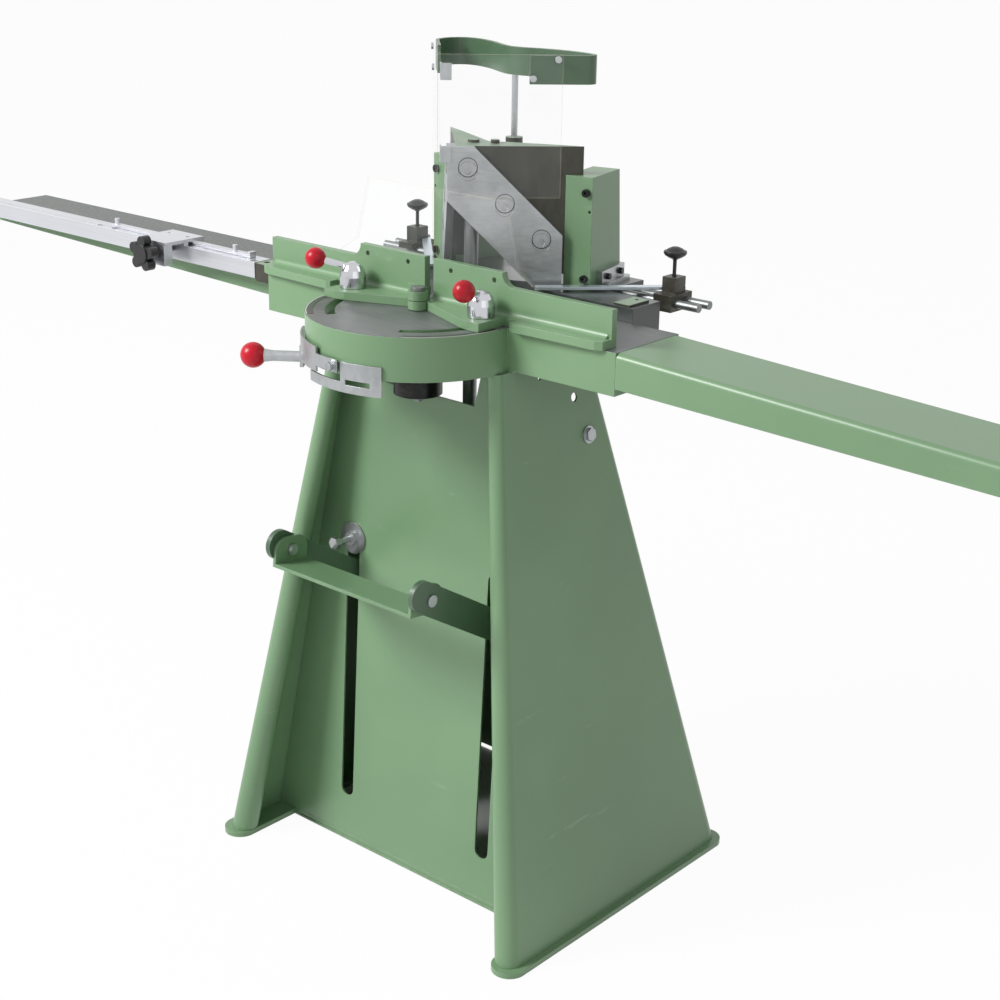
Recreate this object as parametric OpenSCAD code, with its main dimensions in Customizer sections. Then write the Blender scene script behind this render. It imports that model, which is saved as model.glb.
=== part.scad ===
// Foot-operated mitre guillotine for picture frame mouldings.
// Origin: on the floor, straight below the pin that both fences swing on.
// +X is the operator's right, +Y points away from the operator, +Z is up.

/* [Stand] */
// Height of the stand's top
stand_h = 810; // [780:1:830]
// Half the stand's width at its top
top_half = 159; // [156:1:163]
// Half the stand's width at the floor
foot_half = 296; // [285:1:310]
// Front edge of a side panel at the top
front_top_y = -16; // [-20:1:-12]
// Front edge of a side panel at the floor
front_foot_y = -127; // [-140:1:-110]
// Back edge of a side panel at the top
back_top_y = 178; // [172:1:190]
// Back edge of a side panel at the floor
back_foot_y = 372; // [360:1:390]
// Radius of the rolled panel edge at the floor
roll_foot_r = 20; // [17:0.5:22]
// Radius of the rolled panel edge at the top
roll_top_r = 12; // [10:0.5:13]
// Sheet thickness of the stand
sheet_t = 3; // [2.5:0.25:4]
// Thickness of the foot plates
foot_t = 8; // [6:0.5:10]
// How far the foot plates stand proud
foot_proud = 9; // [6:1:12]
// Front panel plane at the floor
panel_foot_y = -18; // [-24:1:-10]
// Front panel plane at the top
panel_top_y = 25; // [20:1:28]
// Half the width of the notch in the front panel's top edge
notch_half = 98; // [80:1:104]
// Bottom of that notch
notch_z = 746; // [740:1:749]

/* [Pedal] */
// Distance from the middle to a pedal arm
pedal_x = 139; // [136:0.5:140]
// Thickness of a pedal arm
pedal_arm_t = 8; // [6:0.5:10]
// Depth of a pedal arm
pedal_arm_d = 44; // [38:1:48]
// Pedal shaft's distance behind the fence pin
shaft_y = 252; // [248:1:256]
// Pedal shaft's height
shaft_z = 291; // [285:1:300]
// Pedal shaft's radius
shaft_r = 11; // [9:0.5:13]
// Slope of the raised pedal arms
pedal_slope = 31.2; // [29:0.2:33]
// Swing of the pedal
pedal_swing = 55; // [50:1:56]
// Shaft to tread bolt
tread_reach = 440; // [430:1:450]
// Shaft to the bar that pulls the knife head
bar_reach = 158; // [150:1:165]
// Radius of that bar
bar_r = 9; // [7:0.5:11]
// Width of the slots that the arms run in
slot_w = 25; // [20:1:28]
// Lowest point of those slots
slot_low_z = 75; // [60:1:90]
// Highest point of those slots
slot_high_z = 515; // [510:1:530]

/* [Table] */
// Working height
table_z = 870; // [866:1:880]
// Radius of the round table nose
nose_r = 154; // [152:0.5:155]
// Thickness of the table's top
table_t = 12; // [10:0.5:14]
// Wall of the table casting
table_wall = 8; // [6:0.5:10]
// Front edge of the table's straight wings
wing_front_y = 8; // [5:0.5:12]
// Back edge of the table
table_back_y = 142; // [140:0.5:142]
// Left end of the table
table_left_x = -312; // [-320:1:-300]
// Right end of the table
table_right_x = 334; // [325:1:345]
// Middle radius of the curved clamp slots
arc_slot_r = 120; // [118:0.5:122]
// Width of the curved clamp slots
arc_slot_w = 14; // [12:0.5:16]
// Inner radius of the curved scales
scale_in_r = 143; // [141:0.5:145]
// Length of a side arm, from the middle to its tip
arm_tip_x = 1045; // [950:5:1100]

/* [Knife head] */
// Knife apex behind the fence pin
apex_y = 57; // [55:0.5:60]
// Knife thickness
knife_t = 12; // [10:0.5:13]
// Length of a knife along its face
knife_l = 159; // [150:1:160]
// Height of the head's top
head_z = 1083; // [1078:1:1090]
// Cutting edge's height at the apex
edge_z = 1010; // [1008:1:1014]
// Height of a knife's flat lower end
knife_low_z = 891; // [891:1:896]
// Stroke of the head
stroke = 145.6; // [143:0.1:147]
// Half the width of the knife block
block_half = 123; // [121:0.5:124]
// Back of the knife block in the middle
block_back_y = 140; // [134:1:146]
// Radius of the pull rod
pull_r = 10; // [8:0.5:12]
// Pull rod behind the fence pin
pull_y = 107; // [102:1:112]

/* [Carriage] */
// Half the width of the carriage
carriage_half = 258; // [250:1:262]
// Front face of the carriage
carriage_y = 142.5; // [142.4:0.1:143]
// Underside of the carriage
carriage_low_z = 840; // [836:1:844]
// Top of the carriage
carriage_z = 890; // [888:0.5:890.5]
// Top of the guide columns
column_z = 1044.5; // [1040:0.5:1046]
// Backward travel of the carriage
feed = 45; // [40:1:45]
// Swing of the feed lever
feed_swing = 24; // [22:1:24]
// Radius of a support rod
support_r = 6; // [5:0.5:7]
// Outer end of the support rods
support_x = 297; // [290:1:305]

/* [Fences] */
// Front face of a fence
fence_y = 22; // [21:0.5:24]
// Thickness of a fence
fence_t = 10; // [9:0.5:11]
// Height of a fence's low run
fence_low = 50; // [46:1:52]
// Height of a fence's tall inner end
fence_high = 68; // [64:1:72]
// Thickness of a fence's foot
fence_foot_t = 11.7; // [10:0.1:13]
// Length of a fence
fence_l = 316; // [300:1:320]
// Radius of the fence pin
pin_r = 5; // [4:0.5:6]
// Clamp's distance from the middle
clamp_x = 120; // [118:0.5:122]
// Clamp's distance in front of the fence pin
clamp_y = -6; // [-8:0.5:-5]

/* [Guard] */
// Guard apex behind the fence pin
guard_y = 37; // [36.8:0.1:38]
// Thickness of the clear sheet
glass_t = 4; // [3:0.5:5]
// Length of a guard sheet along its face
glass_l = 167; // [160:1:170]
// Lower edge of the guard sheets
glass_low_z = 1017; // [1016.5:0.5:1020]
// Upper edge of the guard sheets
glass_high_z = 1207; // [1200:1:1212]
// Height of the guard's bow
bow_h = 38; // [34:1:42]
// Thickness of the bow
bow_t = 5; // [4:0.5:6]
// Radius of the guard's rod
rod_r = 4.4; // [4:0.1:5]
// Guard rod behind the fence pin
rod_y = 195; // [192:1:200]

/* [Fits] */
// Running clearance of a shaft in its bore
run_gap = 0.05; // [0.02:0.01:0.1]
// Clearance between faces that slide or pass
face_gap = 0.35; // [0.3:0.01:0.4]

/* [Hidden] */
$fn = 48;

root2 = sqrt(2);
far = 3000;
side_slope = (foot_half - top_half) / stand_h;
side_tilt = atan(side_slope);
green = [0.33, 0.47, 0.33];
dark_green = [0.10, 0.22, 0.15];
steel = [0.62, 0.63, 0.64];
oily = [0.20, 0.20, 0.19];
chrome = [0.80, 0.81, 0.83];
black = [0.09, 0.09, 0.10];
clear = [0.78, 0.90, 0.92, 0.35];

// Half the stand's outer width at a height
function half_at(z) = foot_half - side_slope * z;
// A value that runs from the floor to the stand's top
function rise(foot, top, z) = foot + (top - foot) * z / stand_h;

// The children, and for the left side their mirror image
module on_side(side) {
  mirror([side < 0 ? 1 : 0, 0, 0]) children();
}

// A frame on the right-hand 45 degree face through [0, y]: +x along the face, +y into the head
module on_face(y) {
  translate([0, y, 0]) rotate([0, 0, 45]) children();
}

// A profile drawn in Y and Z, extruded along X from x0 to x1
module along_x(x0, x1) {
  translate([x0, 0, 0]) rotate([90, 0, 90]) linear_extrude(x1 - x0) children();
}

// A profile drawn in X and Z, extruded along Y from y0 to y1
module along_y(y0, y1) {
  translate([0, y1, 0]) rotate([90, 0, 0]) linear_extrude(y1 - y0) children();
}

// A round bar between two points
module bar_between(a, b, r) {
  d = b - a;
  translate(a)
    rotate([0, acos(d[2] / norm(d)), atan2(d[1], d[0])])
      cylinder(r = r, h = norm(d));
}

// A point of the smooth curve through p1 and p2, between them
function curve_point(p0, p1, p2, p3, t) =
  0.5 * (2 * p1 + (p2 - p0) * t + (2 * p0 - 5 * p1 + 4 * p2 - p3) * t * t
    + (3 * p1 - p0 - 3 * p2 + p3) * t * t * t);

// The smooth curve through all points of a path
function curve(path, steps) = let (last = len(path) - 1) concat(
  [for (i = [0 : last - 1], k = [0 : steps - 1])
    curve_point(path[max(i - 1, 0)], path[i], path[i + 1], path[min(i + 2, last)], k / steps)],
  [path[last]]
);

// Unit vector along a path at one of its points
function heading(path, i) =
  let (d = path[min(i + 1, len(path) - 1)] - path[max(i - 1, 0)]) d / norm(d);

// A path moved sideways by a distance
function beside(path, side) =
  [for (i = [0 : len(path) - 1]) let (h = heading(path, i)) path[i] + side * [-h[1], h[0]]];

function reversed(path) = [for (i = [len(path) - 1 : -1 : 0]) path[i]];

// A flat strip of constant width along a path
module strip(path, width) {
  polygon(concat(beside(path, width / 2), reversed(beside(path, -width / 2))));
}

// A ring sector between two radii and two angles, with square ends
module sector(r0, r1, a0, a1) {
  reach = r1 * 1.6;
  mid = (a0 + a1) / 2;
  difference() {
    circle(r = r1, $fn = 120);
    circle(r = r0, $fn = 120);
    rotate(a1) translate([-reach, 0]) square([2 * reach, 2 * reach]);
    rotate(a0 + 180) translate([-reach, 0]) square([2 * reach, 2 * reach]);
    rotate(mid + 180) translate([0, -reach]) square([reach, 2 * reach]);
  }
}

// A hexagon head or nut, across flats, standing on z = 0
module hexagon(flats, h) {
  cylinder(d = flats / cos(30), h = h, $fn = 6);
}

// ---- Stand -------------------------------------------------------------

// A rolled edge from the floor to the stand's top, for the right side
module rolled_edge(y_foot, y_top, inward, inset) {
  a = [foot_half - roll_foot_r, y_foot + inward * roll_foot_r, 0];
  b = [top_half - roll_top_r, y_top + inward * roll_top_r, stand_h];
  d = b - a;
  over = 0.06;
  translate(a - over * d)
    rotate([0, acos(d[2] / norm(d)), atan2(d[1], d[0])])
      cylinder(r1 = roll_foot_r + over * (roll_foot_r - roll_top_r) - inset,
               r2 = roll_top_r - over * (roll_foot_r - roll_top_r) - inset,
               h = norm(d) * (1 + 2 * over), $fn = 64);
}

// The sheet of a side panel between its rolled edges
module side_sheet() {
  length = norm([stand_h, foot_half - top_half]) + 12;
  translate([foot_half, 0, 0]) rotate([0, -side_tilt, 0])
    translate([-sheet_t, 0, -6]) rotate([90, 0, 90]) linear_extrude(sheet_t)
      polygon([
        [front_foot_y + roll_foot_r, 0], [back_foot_y - roll_foot_r, 0],
        [back_top_y - roll_top_r, length], [front_top_y + roll_top_r, length]
      ]);
}

shaft_boss_r = shaft_r + 9;
boss_l = 20;
boss_in_x = half_at(shaft_z) - sheet_t - boss_l - 4;
tie_y = 157;
tie_z = 694;
tie_r = 6;
side_hole = [135, 751, 6.4];
side_eye = [67, 791, 3];
flange_in_x = 132;

module side_panel() {
  difference() {
    intersection() {
      union() {
        rolled_edge(front_foot_y, front_top_y, 1, 0);
        rolled_edge(back_foot_y, back_top_y, -1, 0);
        side_sheet();
        intersection() {
          translate([boss_in_x, shaft_y, shaft_z]) rotate([0, 90, 0]) cylinder(r = shaft_boss_r, h = 40);
          translate([foot_half, 0, 0]) rotate([0, -side_tilt, 0])
            translate([-200 - sheet_t / 2, 0, 0]) cube([200, 400, 400]);
        }
      }
      translate([0, -far / 2, foot_t]) cube([far, far, stand_h - foot_t]);
    }
    translate([boss_in_x - 1, shaft_y, shaft_z]) rotate([0, 90, 0])
      cylinder(r = shaft_r + run_gap, h = boss_l);
    translate([100, side_hole[0], side_hole[1]]) rotate([0, 90, 0]) cylinder(r = side_hole[2], h = 100);
    translate([100, side_eye[0], side_eye[1]]) rotate([0, 90, 0]) cylinder(r = side_eye[2], h = 100);
    translate([100, tie_y, tie_z]) rotate([0, 90, 0]) cylinder(r = tie_r + run_gap, h = 140);
    rolled_edge(front_foot_y, front_top_y, 1, sheet_t);
    rolled_edge(back_foot_y, back_top_y, -1, sheet_t);
  }
  translate([flange_in_x, front_top_y + roll_top_r, stand_h - sheet_t])
    cube([half_at(stand_h) - sheet_t - flange_in_x, back_top_y - front_top_y - 2 * roll_top_r, sheet_t]);
}

module stand_left() {
  color(green) on_side(-1) side_panel();
}

module stand_right() {
  color(green) side_panel();
}

foot_in_x = foot_half - 2 * roll_foot_r - 2;

// The foot plate under one side panel, with round ends
module foot_plate() {
  r = (foot_half + foot_proud - foot_in_x) / 2;
  y0 = front_foot_y - foot_proud + r;
  y1 = back_foot_y + foot_proud - r;
  linear_extrude(foot_t) {
    translate([foot_in_x, y0]) square([2 * r, y1 - y0]);
    for (y = [y0, y1]) translate([foot_in_x + r, y]) circle(r = r, $fn = 64);
  }
}

module foot_left() {
  color(green) on_side(-1) foot_plate();
}

module foot_right() {
  color(green) foot_plate();
}

panel_lean = atan((panel_top_y - panel_foot_y) / stand_h);
panel_gap = 0.3;
panel_low_z = foot_t + panel_gap;
panel_high_z = (stand_h - sheet_t - 2 * panel_gap) / cos(panel_lean);
notch_taper = 12;
back_high_z = 560;
back_set = 12;
keyhole_r = 21;
keyhole_z = 497;
return_l = 40;

// One upright slot with round ends, in the panel's own plane
module arm_slot() {
  for (z = [slot_low_z + slot_w / 2, slot_high_z - slot_w / 2]) translate([pedal_x, z]) circle(d = slot_w);
  translate([pedal_x - slot_w / 2, slot_low_z + slot_w / 2])
    square([slot_w, slot_high_z - slot_low_z - slot_w]);
}

// Half the width between the two sides' rolled edges at a height
function between_rolls(z) = half_at(z) - 2 * rise(roll_foot_r, roll_top_r, z) - 3 * panel_gap;

// The sheet that closes the stand's lower back, between the rolled edges
module back_sheet() {
  back_lean = atan((back_foot_y - back_top_y) / stand_h);
  foot = between_rolls(panel_low_z);
  high = between_rolls(back_high_z * cos(back_lean));
  translate([0, back_foot_y - back_set, 0]) rotate([back_lean, 0, 0])
    rotate([90, 0, 0]) linear_extrude(sheet_t)
      polygon([[-foot, panel_low_z], [foot, panel_low_z], [high, back_high_z], [-high, back_high_z]]);
}

module stand_panel() {
  in_foot = half_at(panel_low_z) - sheet_t - panel_gap - 0.2;
  in_top = half_at(panel_high_z) - sheet_t - panel_gap - 0.2;
  color(green) {
    translate([0, panel_foot_y, 0]) rotate([-panel_lean, 0, 0])
      translate([0, sheet_t, 0]) rotate([90, 0, 0]) linear_extrude(sheet_t) difference() {
        polygon([
          [-in_foot, panel_low_z], [in_foot, panel_low_z], [in_top, panel_high_z],
          [notch_half, panel_high_z], [notch_half - notch_taper, notch_z],
          [notch_taper - notch_half, notch_z],
          [-notch_half, panel_high_z], [-in_top, panel_high_z]
        ]);
        arm_slot();
        mirror([1, 0]) arm_slot();
        translate([-pedal_x, keyhole_z]) circle(r = keyhole_r);
      }
    difference() {
      translate([-foot_in_x + panel_gap, panel_foot_y - 2, 0])
        cube([2 * (foot_in_x - panel_gap), return_l, sheet_t]);
      for (side = [-1, 1]) translate([side * 160, 0, -1]) cylinder(r = 6.5, h = sheet_t + 2);
    }
    translate([-foot_in_x + panel_gap, panel_foot_y, 0])
      cube([2 * (foot_in_x - panel_gap), sheet_t, panel_low_z + 1]);
    back_sheet();
  }
}

bolt_head_h = 5;
washer_t = 2;

// A bolt through a side panel, square to the sheet, with washers and a nut
module side_bolt() {
  translate([half_at(tie_z), tie_y, tie_z]) rotate([0, 90 - side_tilt, 0]) {
    cylinder(r = 12.5, h = washer_t);
    translate([0, 0, washer_t]) hexagon(17, bolt_head_h);
    translate([0, 0, -sheet_t - washer_t - bolt_head_h - 6]) cylinder(r = tie_r - 0.9, h = sheet_t + 20);
    translate([0, 0, -sheet_t - washer_t]) cylinder(r = 12.5, h = washer_t);
    translate([0, 0, -sheet_t - washer_t - bolt_head_h]) hexagon(17, bolt_head_h);
  }
}

module stand_bolts() {
  color(steel) for (side = [-1, 1]) on_side(side) side_bolt();
}

stop_out = 43;

// The adjustable stop bolt in the keyhole of the left slot
module slot_stop() {
  y = rise(panel_foot_y, panel_top_y, keyhole_z);
  color(steel) translate([-pedal_x, y, keyhole_z]) rotate([90 - panel_lean, 0, 0]) {
    difference() {
      translate([0, 0, 0.02]) cylinder(r = keyhole_r + 3, h = 3);
      translate([0, 0, -1]) cylinder(r = 5, h = 6);
    }
    translate([0, 0, 3.02]) hexagon(19, 7);
    translate([0, 0, -14]) cylinder(r = 5 - run_gap, h = stop_out + 14);
    translate([0, 0, stop_out - 9]) hexagon(16, 9);
    translate([0, 0, -14]) hexagon(19, 7);
  }
}

// ---- Table -------------------------------------------------------------

head_gap = 0.4;
mouth_y = apex_y - head_gap * root2;
cavity_z = table_z - table_t;
wing_low_z = stand_h + 3;
arc_first = 0.2;
arc_last = -58;
scale_t = 0.8;
scale_seat = 0.5;
pin_boss_r = 20;

module table_outline(inset) {
  intersection() {
    circle(r = nose_r - inset, $fn = 144);
    translate([-nose_r, -nose_r]) square([2 * nose_r, nose_r + table_back_y - inset]);
  }
  translate([table_left_x + inset, wing_front_y + inset])
    square([table_right_x - table_left_x - 2 * inset, table_back_y - wing_front_y - 2 * inset]);
}

// The open V that the knives come down into
module mouth_outline(extra) {
  polygon([[0, mouth_y - extra], [200, mouth_y - extra + 200], [-200, mouth_y - extra + 200]]);
}

module curved_slot() {
  sector(arc_slot_r - arc_slot_w / 2, arc_slot_r + arc_slot_w / 2, arc_last, arc_first);
}

module scale_outline(grow) {
  sector(scale_in_r - grow, nose_r - 1 + grow, -54.5 - grow / 2, -3 + grow / 2);
}

module table() {
  color(steel) difference() {
    union() {
      difference() {
        translate([0, 0, stand_h]) linear_extrude(table_z - stand_h) table_outline(0);
        translate([0, 0, stand_h - 1]) linear_extrude(cavity_z - stand_h + 1) difference() {
          table_outline(table_wall);
          mouth_outline(table_wall * root2);
        }
        for (side = [-1, 1]) on_side(side)
          translate([top_half + 6, 0, stand_h - 1]) cube([far, far, wing_low_z - stand_h + 1]);
      }
      translate([0, 0, stand_h]) cylinder(r = pin_boss_r, h = table_z - stand_h);
    }
    translate([0, 0, stand_h - 1]) linear_extrude(table_z) mouth_outline(0);
    for (side = [-1, 1]) on_side(side) translate([0, 0, cavity_z - 1]) linear_extrude(table_t + 2)
      curved_slot();
    for (side = [-1, 1]) on_side(side) translate([0, 0, table_z - scale_seat]) linear_extrude(1)
      scale_outline(0.2);
    translate([0, 0, stand_h - 1]) cylinder(r = pin_r + run_gap, h = 100);
    translate([0, 0, stand_h - 1]) cylinder(r = pin_boss_r + 1, h = 1 + face_gap);
  }
}

module scales() {
  color("white") for (side = [-1, 1]) on_side(side) translate([0, 0, table_z - scale_seat])
    linear_extrude(scale_t) scale_outline(0);
}

lug_t = 12;
lug_r = 14;
lug_low_z = table_z + 1;
lug_high_z = lug_low_z + lug_t + 1;
pin_top_z = lug_high_z + lug_t + 0.6;
hub_low_z = notch_z + 6;

module fence_pin() {
  color(steel) {
    translate([0, 0, hub_low_z - 12]) cylinder(r = pin_r, h = pin_top_z - hub_low_z + 12);
    translate([0, 0, pin_top_z]) cylinder(r = pin_r + 5, h = 5);
    translate([0, 0, hub_low_z - 9]) hexagon(16, 8.6);
  }
}

bed_in_x = block_half + 7;
bed_back_y = 250 + feed;
key_w = 12;
key_h = 7;
key_x = (bed_in_x + top_half + 12) / 2;

// The slideway under the carriage, bolted to the stand's top
module bed() {
  out_x = top_half + 12;
  cross_t = 18;
  color(dark_green) {
    for (side = [-1, 1]) on_side(side) {
      translate([bed_in_x, table_back_y + 0.4, stand_h])
        cube([out_x - bed_in_x, bed_back_y - table_back_y - 0.4, carriage_low_z - stand_h - 0.3]);
      translate([key_x - key_w / 2, table_back_y + 6, carriage_low_z - 1])
        cube([key_w, bed_back_y - table_back_y - 12, key_h + 1]);
    }
    translate([-bed_in_x - 1, bed_back_y - cross_t, stand_h])
      cube([2 * bed_in_x + 2, cross_t, carriage_low_z - stand_h - 0.3]);
  }
}

band_r = nose_r + 3.5;
band_t = 3;
quadrant_last = -64;
quadrant_step = -87;
quadrant_first = -113;

// The fixed plate on the table's rim that the feed lever's band runs over
module quadrant() {
  r0 = nose_r + 0.02;
  r1 = band_r - 0.5;
  low = stand_h - 22;
  color(steel) difference() {
    union() {
      translate([0, 0, low]) linear_extrude(41) sector(r0, r1, quadrant_step, quadrant_last);
      translate([0, 0, low]) linear_extrude(14) sector(r0, r1, quadrant_first, quadrant_step + 0.5);
    }
    translate([0, 0, low + 11]) linear_extrude(7)
      sector(r0 - 5, r1 + 5, quadrant_step + 3, quadrant_last - 6);
  }
}

// ---- Side arms ---------------------------------------------------------

arm_back_y = table_back_y;
left_arm_y = 40.5;
left_root_low = 824;
left_tip_low = 841;
arm_wall = 5;
joint_gap = 0.3;

module arm_left() {
  x0 = -arm_tip_x;
  x1 = table_left_x - joint_gap;
  color(steel) difference() {
    along_y(left_arm_y, arm_back_y)
      polygon([[x0, left_tip_low], [x1, left_root_low], [x1, table_z], [x0, table_z]]);
    along_y(left_arm_y + arm_wall, arm_back_y - arm_wall)
      polygon([
        [x0 + arm_wall, left_tip_low - 20], [x1 - 12, left_root_low - 20],
        [x1 - 12, table_z - 6], [x0 + arm_wall, table_z - 6]
      ]);
  }
}

rail_y = 8;
rail_low_z = 856;
rail_z = 880;
rail_end_x = -342;
rail_notches = [-723, -686, -352];
rail_lip = 9;

module arm_rail() {
  color([0.75, 0.76, 0.77]) difference() {
    along_x(-arm_tip_x, rail_end_x) difference() {
      translate([rail_y, rail_low_z]) square([left_arm_y - 0.2 - rail_y, rail_z - rail_low_z]);
      translate([rail_y + 6, rail_low_z - 1]) square([18, 13]);
      translate([rail_y + rail_lip, rail_z - 2.5]) square([1.6, 4]);
    }
    for (x = rail_notches) translate([x, rail_y + rail_lip + 1, rail_z - 6]) cylinder(r = 5, h = 10);
  }
}

module rail_bracket() {
  x0 = rail_end_x + joint_gap;
  depth = left_arm_y - rail_y - 1.3;
  color(steel) difference() {
    union() {
      translate([x0, rail_y + 1, rail_low_z - 4]) cube([table_left_x - joint_gap - x0, depth, 16]);
      translate([x0, rail_y + 1, rail_low_z - 4])
        cube([min(-fence_l - 6, table_left_x - joint_gap) - x0, depth, 27]);
    }
    translate([x0 + 10, rail_y + 16, rail_low_z]) cylinder(r = 4.5, h = 40);
  }
}

right_fall = 0.0445;
right_low_z = 823;
right_low_fall = 0.025;
right_round = 8;

module arm_right() {
  x0 = table_right_x + joint_gap;
  length = arm_tip_x - x0;
  top_end = table_z - 0.5 - right_fall * length;
  low_end = right_low_z - right_low_fall * length;
  fall = atan(right_fall);
  depth = arm_back_y - wing_front_y;
  color(green) difference() {
    intersection() {
      along_y(wing_front_y, arm_back_y)
        polygon([[x0, right_low_z], [arm_tip_x, low_end], [arm_tip_x, top_end], [x0, table_z - 0.5]]);
      translate([x0, wing_front_y, table_z - 0.5]) rotate([0, fall, 0]) along_x(-20, length + 20) union() {
        translate([0, -120]) square([depth, 120 - right_round]);
        translate([right_round, -120]) square([depth - 2 * right_round, 120]);
        for (y = [right_round, depth - right_round]) translate([y, -right_round]) circle(r = right_round);
      }
    }
    along_y(wing_front_y + sheet_t, arm_back_y - sheet_t)
      polygon([
        [x0 + 8, right_low_z - 40], [arm_tip_x - sheet_t, low_end - 40],
        [arm_tip_x - sheet_t, top_end - right_round], [x0 + 8, table_z - right_round - 0.5]
      ]);
  }
}

slider_x = -537;
slider_half = 37;
bar_z = rail_z + face_gap;
stop_bar_t = 5;
jaw_x = slider_x + 3;
stop_bar_x0 = slider_x - 161;
stop_bar_x1 = slider_x + 172;
stop_pins = [slider_x - 153, slider_x + 132];
knob_y = -45;
knob_z = 872;
knob_shaft_r = 4;

// The length stop that slides along the rail
module stop_slider() {
  color(steel) {
    difference() {
      union() {
        translate([slider_x - slider_half, -30, bar_z + stop_bar_t]) cube([2 * slider_half, 75, 5]);
        translate([slider_x - slider_half, 6, bar_z]) cube([2 * slider_half, 8, stop_bar_t]);
        translate([jaw_x - 27, -28, 853]) cube([54, 16, bar_z + stop_bar_t - 853]);
        translate([slider_x - slider_half, 32 + 2, bar_z]) cube([2 * slider_half, 11, stop_bar_t]);
      }
      translate([jaw_x, 0, knob_z]) rotate([90, 0, 0]) cylinder(r = knob_shaft_r + run_gap, h = 40);
      for (x = [slider_x - 22, slider_x + 22]) translate([x, 26, bar_z]) cylinder(r = 3.2, h = 20);
    }
    difference() {
      translate([stop_bar_x0, 20, bar_z]) cube([stop_bar_x1 - stop_bar_x0, 12, stop_bar_t]);
      for (x = stop_pins) translate([x, 26, bar_z - 1]) cylinder(r = 4, h = 20);
    }
    translate([stop_bar_x1 - 7, 20, bar_z + stop_bar_t]) cube([7, 12, 4]);
  }
  color("gold") for (x = stop_pins) translate([x, 26, bar_z]) {
    cylinder(r = 4, h = stop_bar_t + 9);
  }
}

module stop_knob() {
  color(black) translate([jaw_x, 0, knob_z]) rotate([90, 0, 0]) {
    translate([0, 0, 36.5]) cylinder(r = 15, h = 17.5);
    translate([0, 0, 30]) cylinder(r = 10, h = 8);
    for (a = [12 : 72 : 300]) rotate(a) translate([19, 0, 38]) cylinder(r = 8.5, h = 14);
    translate([0, 0, -rail_y + 0.5]) cylinder(r = knob_shaft_r, h = 32 + rail_y - 0.5);
  }
}

// ---- Pedal -------------------------------------------------------------

// The pedal's own frame: origin on the shaft, +x forward along the raised arms, +y to the right
module on_pedal() {
  translate([0, shaft_y, shaft_z]) rotate([0, 0, -90]) rotate([0, -pedal_slope, 0]) children();
}

tread_bolt_r = 6;
arm_front = tread_reach + 40;
hub_r = pedal_arm_d / 2;
bar_l = 2 * (pedal_x + 14);

module pedal_arm() {
  on_pedal() translate([0, pedal_x + pedal_arm_t / 2, 0]) rotate([90, 0, 0]) linear_extrude(pedal_arm_t)
    difference() {
      union() {
        translate([0, -hub_r]) square([arm_front - hub_r, 2 * hub_r]);
        translate([arm_front - hub_r, 0]) circle(r = hub_r);
        circle(r = hub_r + 4);
      }
      circle(r = shaft_r + run_gap);
      translate([bar_reach, 0]) circle(r = bar_r + run_gap);
      translate([tread_reach, 0]) circle(r = tread_bolt_r + run_gap);
    }
}

module pedal_arm_left() {
  color(green) on_side(-1) pedal_arm();
}

module pedal_arm_right() {
  color(green) pedal_arm();
}

module pedal_shaft() {
  end_x = boss_in_x + boss_l - 2;
  color(oily) difference() {
    translate([-end_x, shaft_y, shaft_z]) rotate([0, 90, 0]) cylinder(r = shaft_r, h = 2 * end_x);
    for (side = [-1, 1]) translate([side * end_x, shaft_y, shaft_z]) sphere(r = 3);
  }
}

module pedal_bar() {
  color(oily) on_pedal()
    translate([bar_reach, bar_l / 2, 0]) rotate([90, 0, 0]) cylinder(r = bar_r, h = bar_l);
}

tread_w = 60;
tread_t = 5;
tread_drop = 22;
ear_h = 34;

// The tread plate between the arms, with an ear turned up at each end
module pedal_tread() {
  half = pedal_x - pedal_arm_t / 2 - 0.1;
  lean = pedal_slope - 6;
  color(green) on_pedal() translate([tread_reach, 0, 0]) difference() {
    union() {
      rotate([0, lean, 0]) translate([-tread_w / 2, -half, -tread_drop]) cube([tread_w, 2 * half, tread_t]);
      for (side = [-1, 1]) translate([0, side * (half - tread_t / 2) + tread_t / 2, 0])
        rotate([0, lean, 0]) rotate([90, 0, 0]) linear_extrude(tread_t) {
          translate([-tread_w / 2, -tread_drop]) square([tread_w, 22]);
          translate([-tread_w / 2 + 20, 0]) square([tread_w - 40, 20]);
          for (x = [-1, 1]) translate([x * (tread_w / 2 - 20), 0]) circle(r = 20);
        }
    }
    rotate([90, 0, 0]) translate([0, 0, -far / 2]) cylinder(r = tread_bolt_r + run_gap, h = far);
  }
}

module tread_bolts() {
  color(steel) on_pedal() for (side = [-1, 1]) translate([tread_reach, side * pedal_x, 0]) {
    outer = pedal_arm_t / 2 + 0.02;
    inner = pedal_arm_t / 2 + tread_t + 0.15;
    rotate([side * -90, 0, 0]) {
      translate([0, 0, outer]) cylinder(r = 8.5, h = 3);
      translate([0, 0, -inner - 6]) cylinder(r = tread_bolt_r, h = inner + outer + 8);
      translate([0, 0, -inner - 4]) cylinder(r = 8.5, h = 4);
    }
  }
}

// ---- Knife head --------------------------------------------------------

block_y = apex_y + knife_t * root2;
tip_land = 1.2;
heel_x = block_half - 26;
heel_y = block_y + block_half - 10;

// Plan of the knife block, grown by a clearance
function block_plan(grow) = [
  [0, block_y - grow * root2],
  [block_half + grow, block_y + block_half + grow - grow * root2],
  [block_half + grow, block_y + block_half + tip_land + 1.6 * grow],
  [heel_x, heel_y + grow * 1.2],
  [0, block_back_y + grow * 1.2],
  [-heel_x, heel_y + grow * 1.2],
  [-block_half - grow, block_y + block_half + tip_land + 1.6 * grow],
  [-block_half - grow, block_y + block_half + grow - grow * root2]
];

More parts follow.
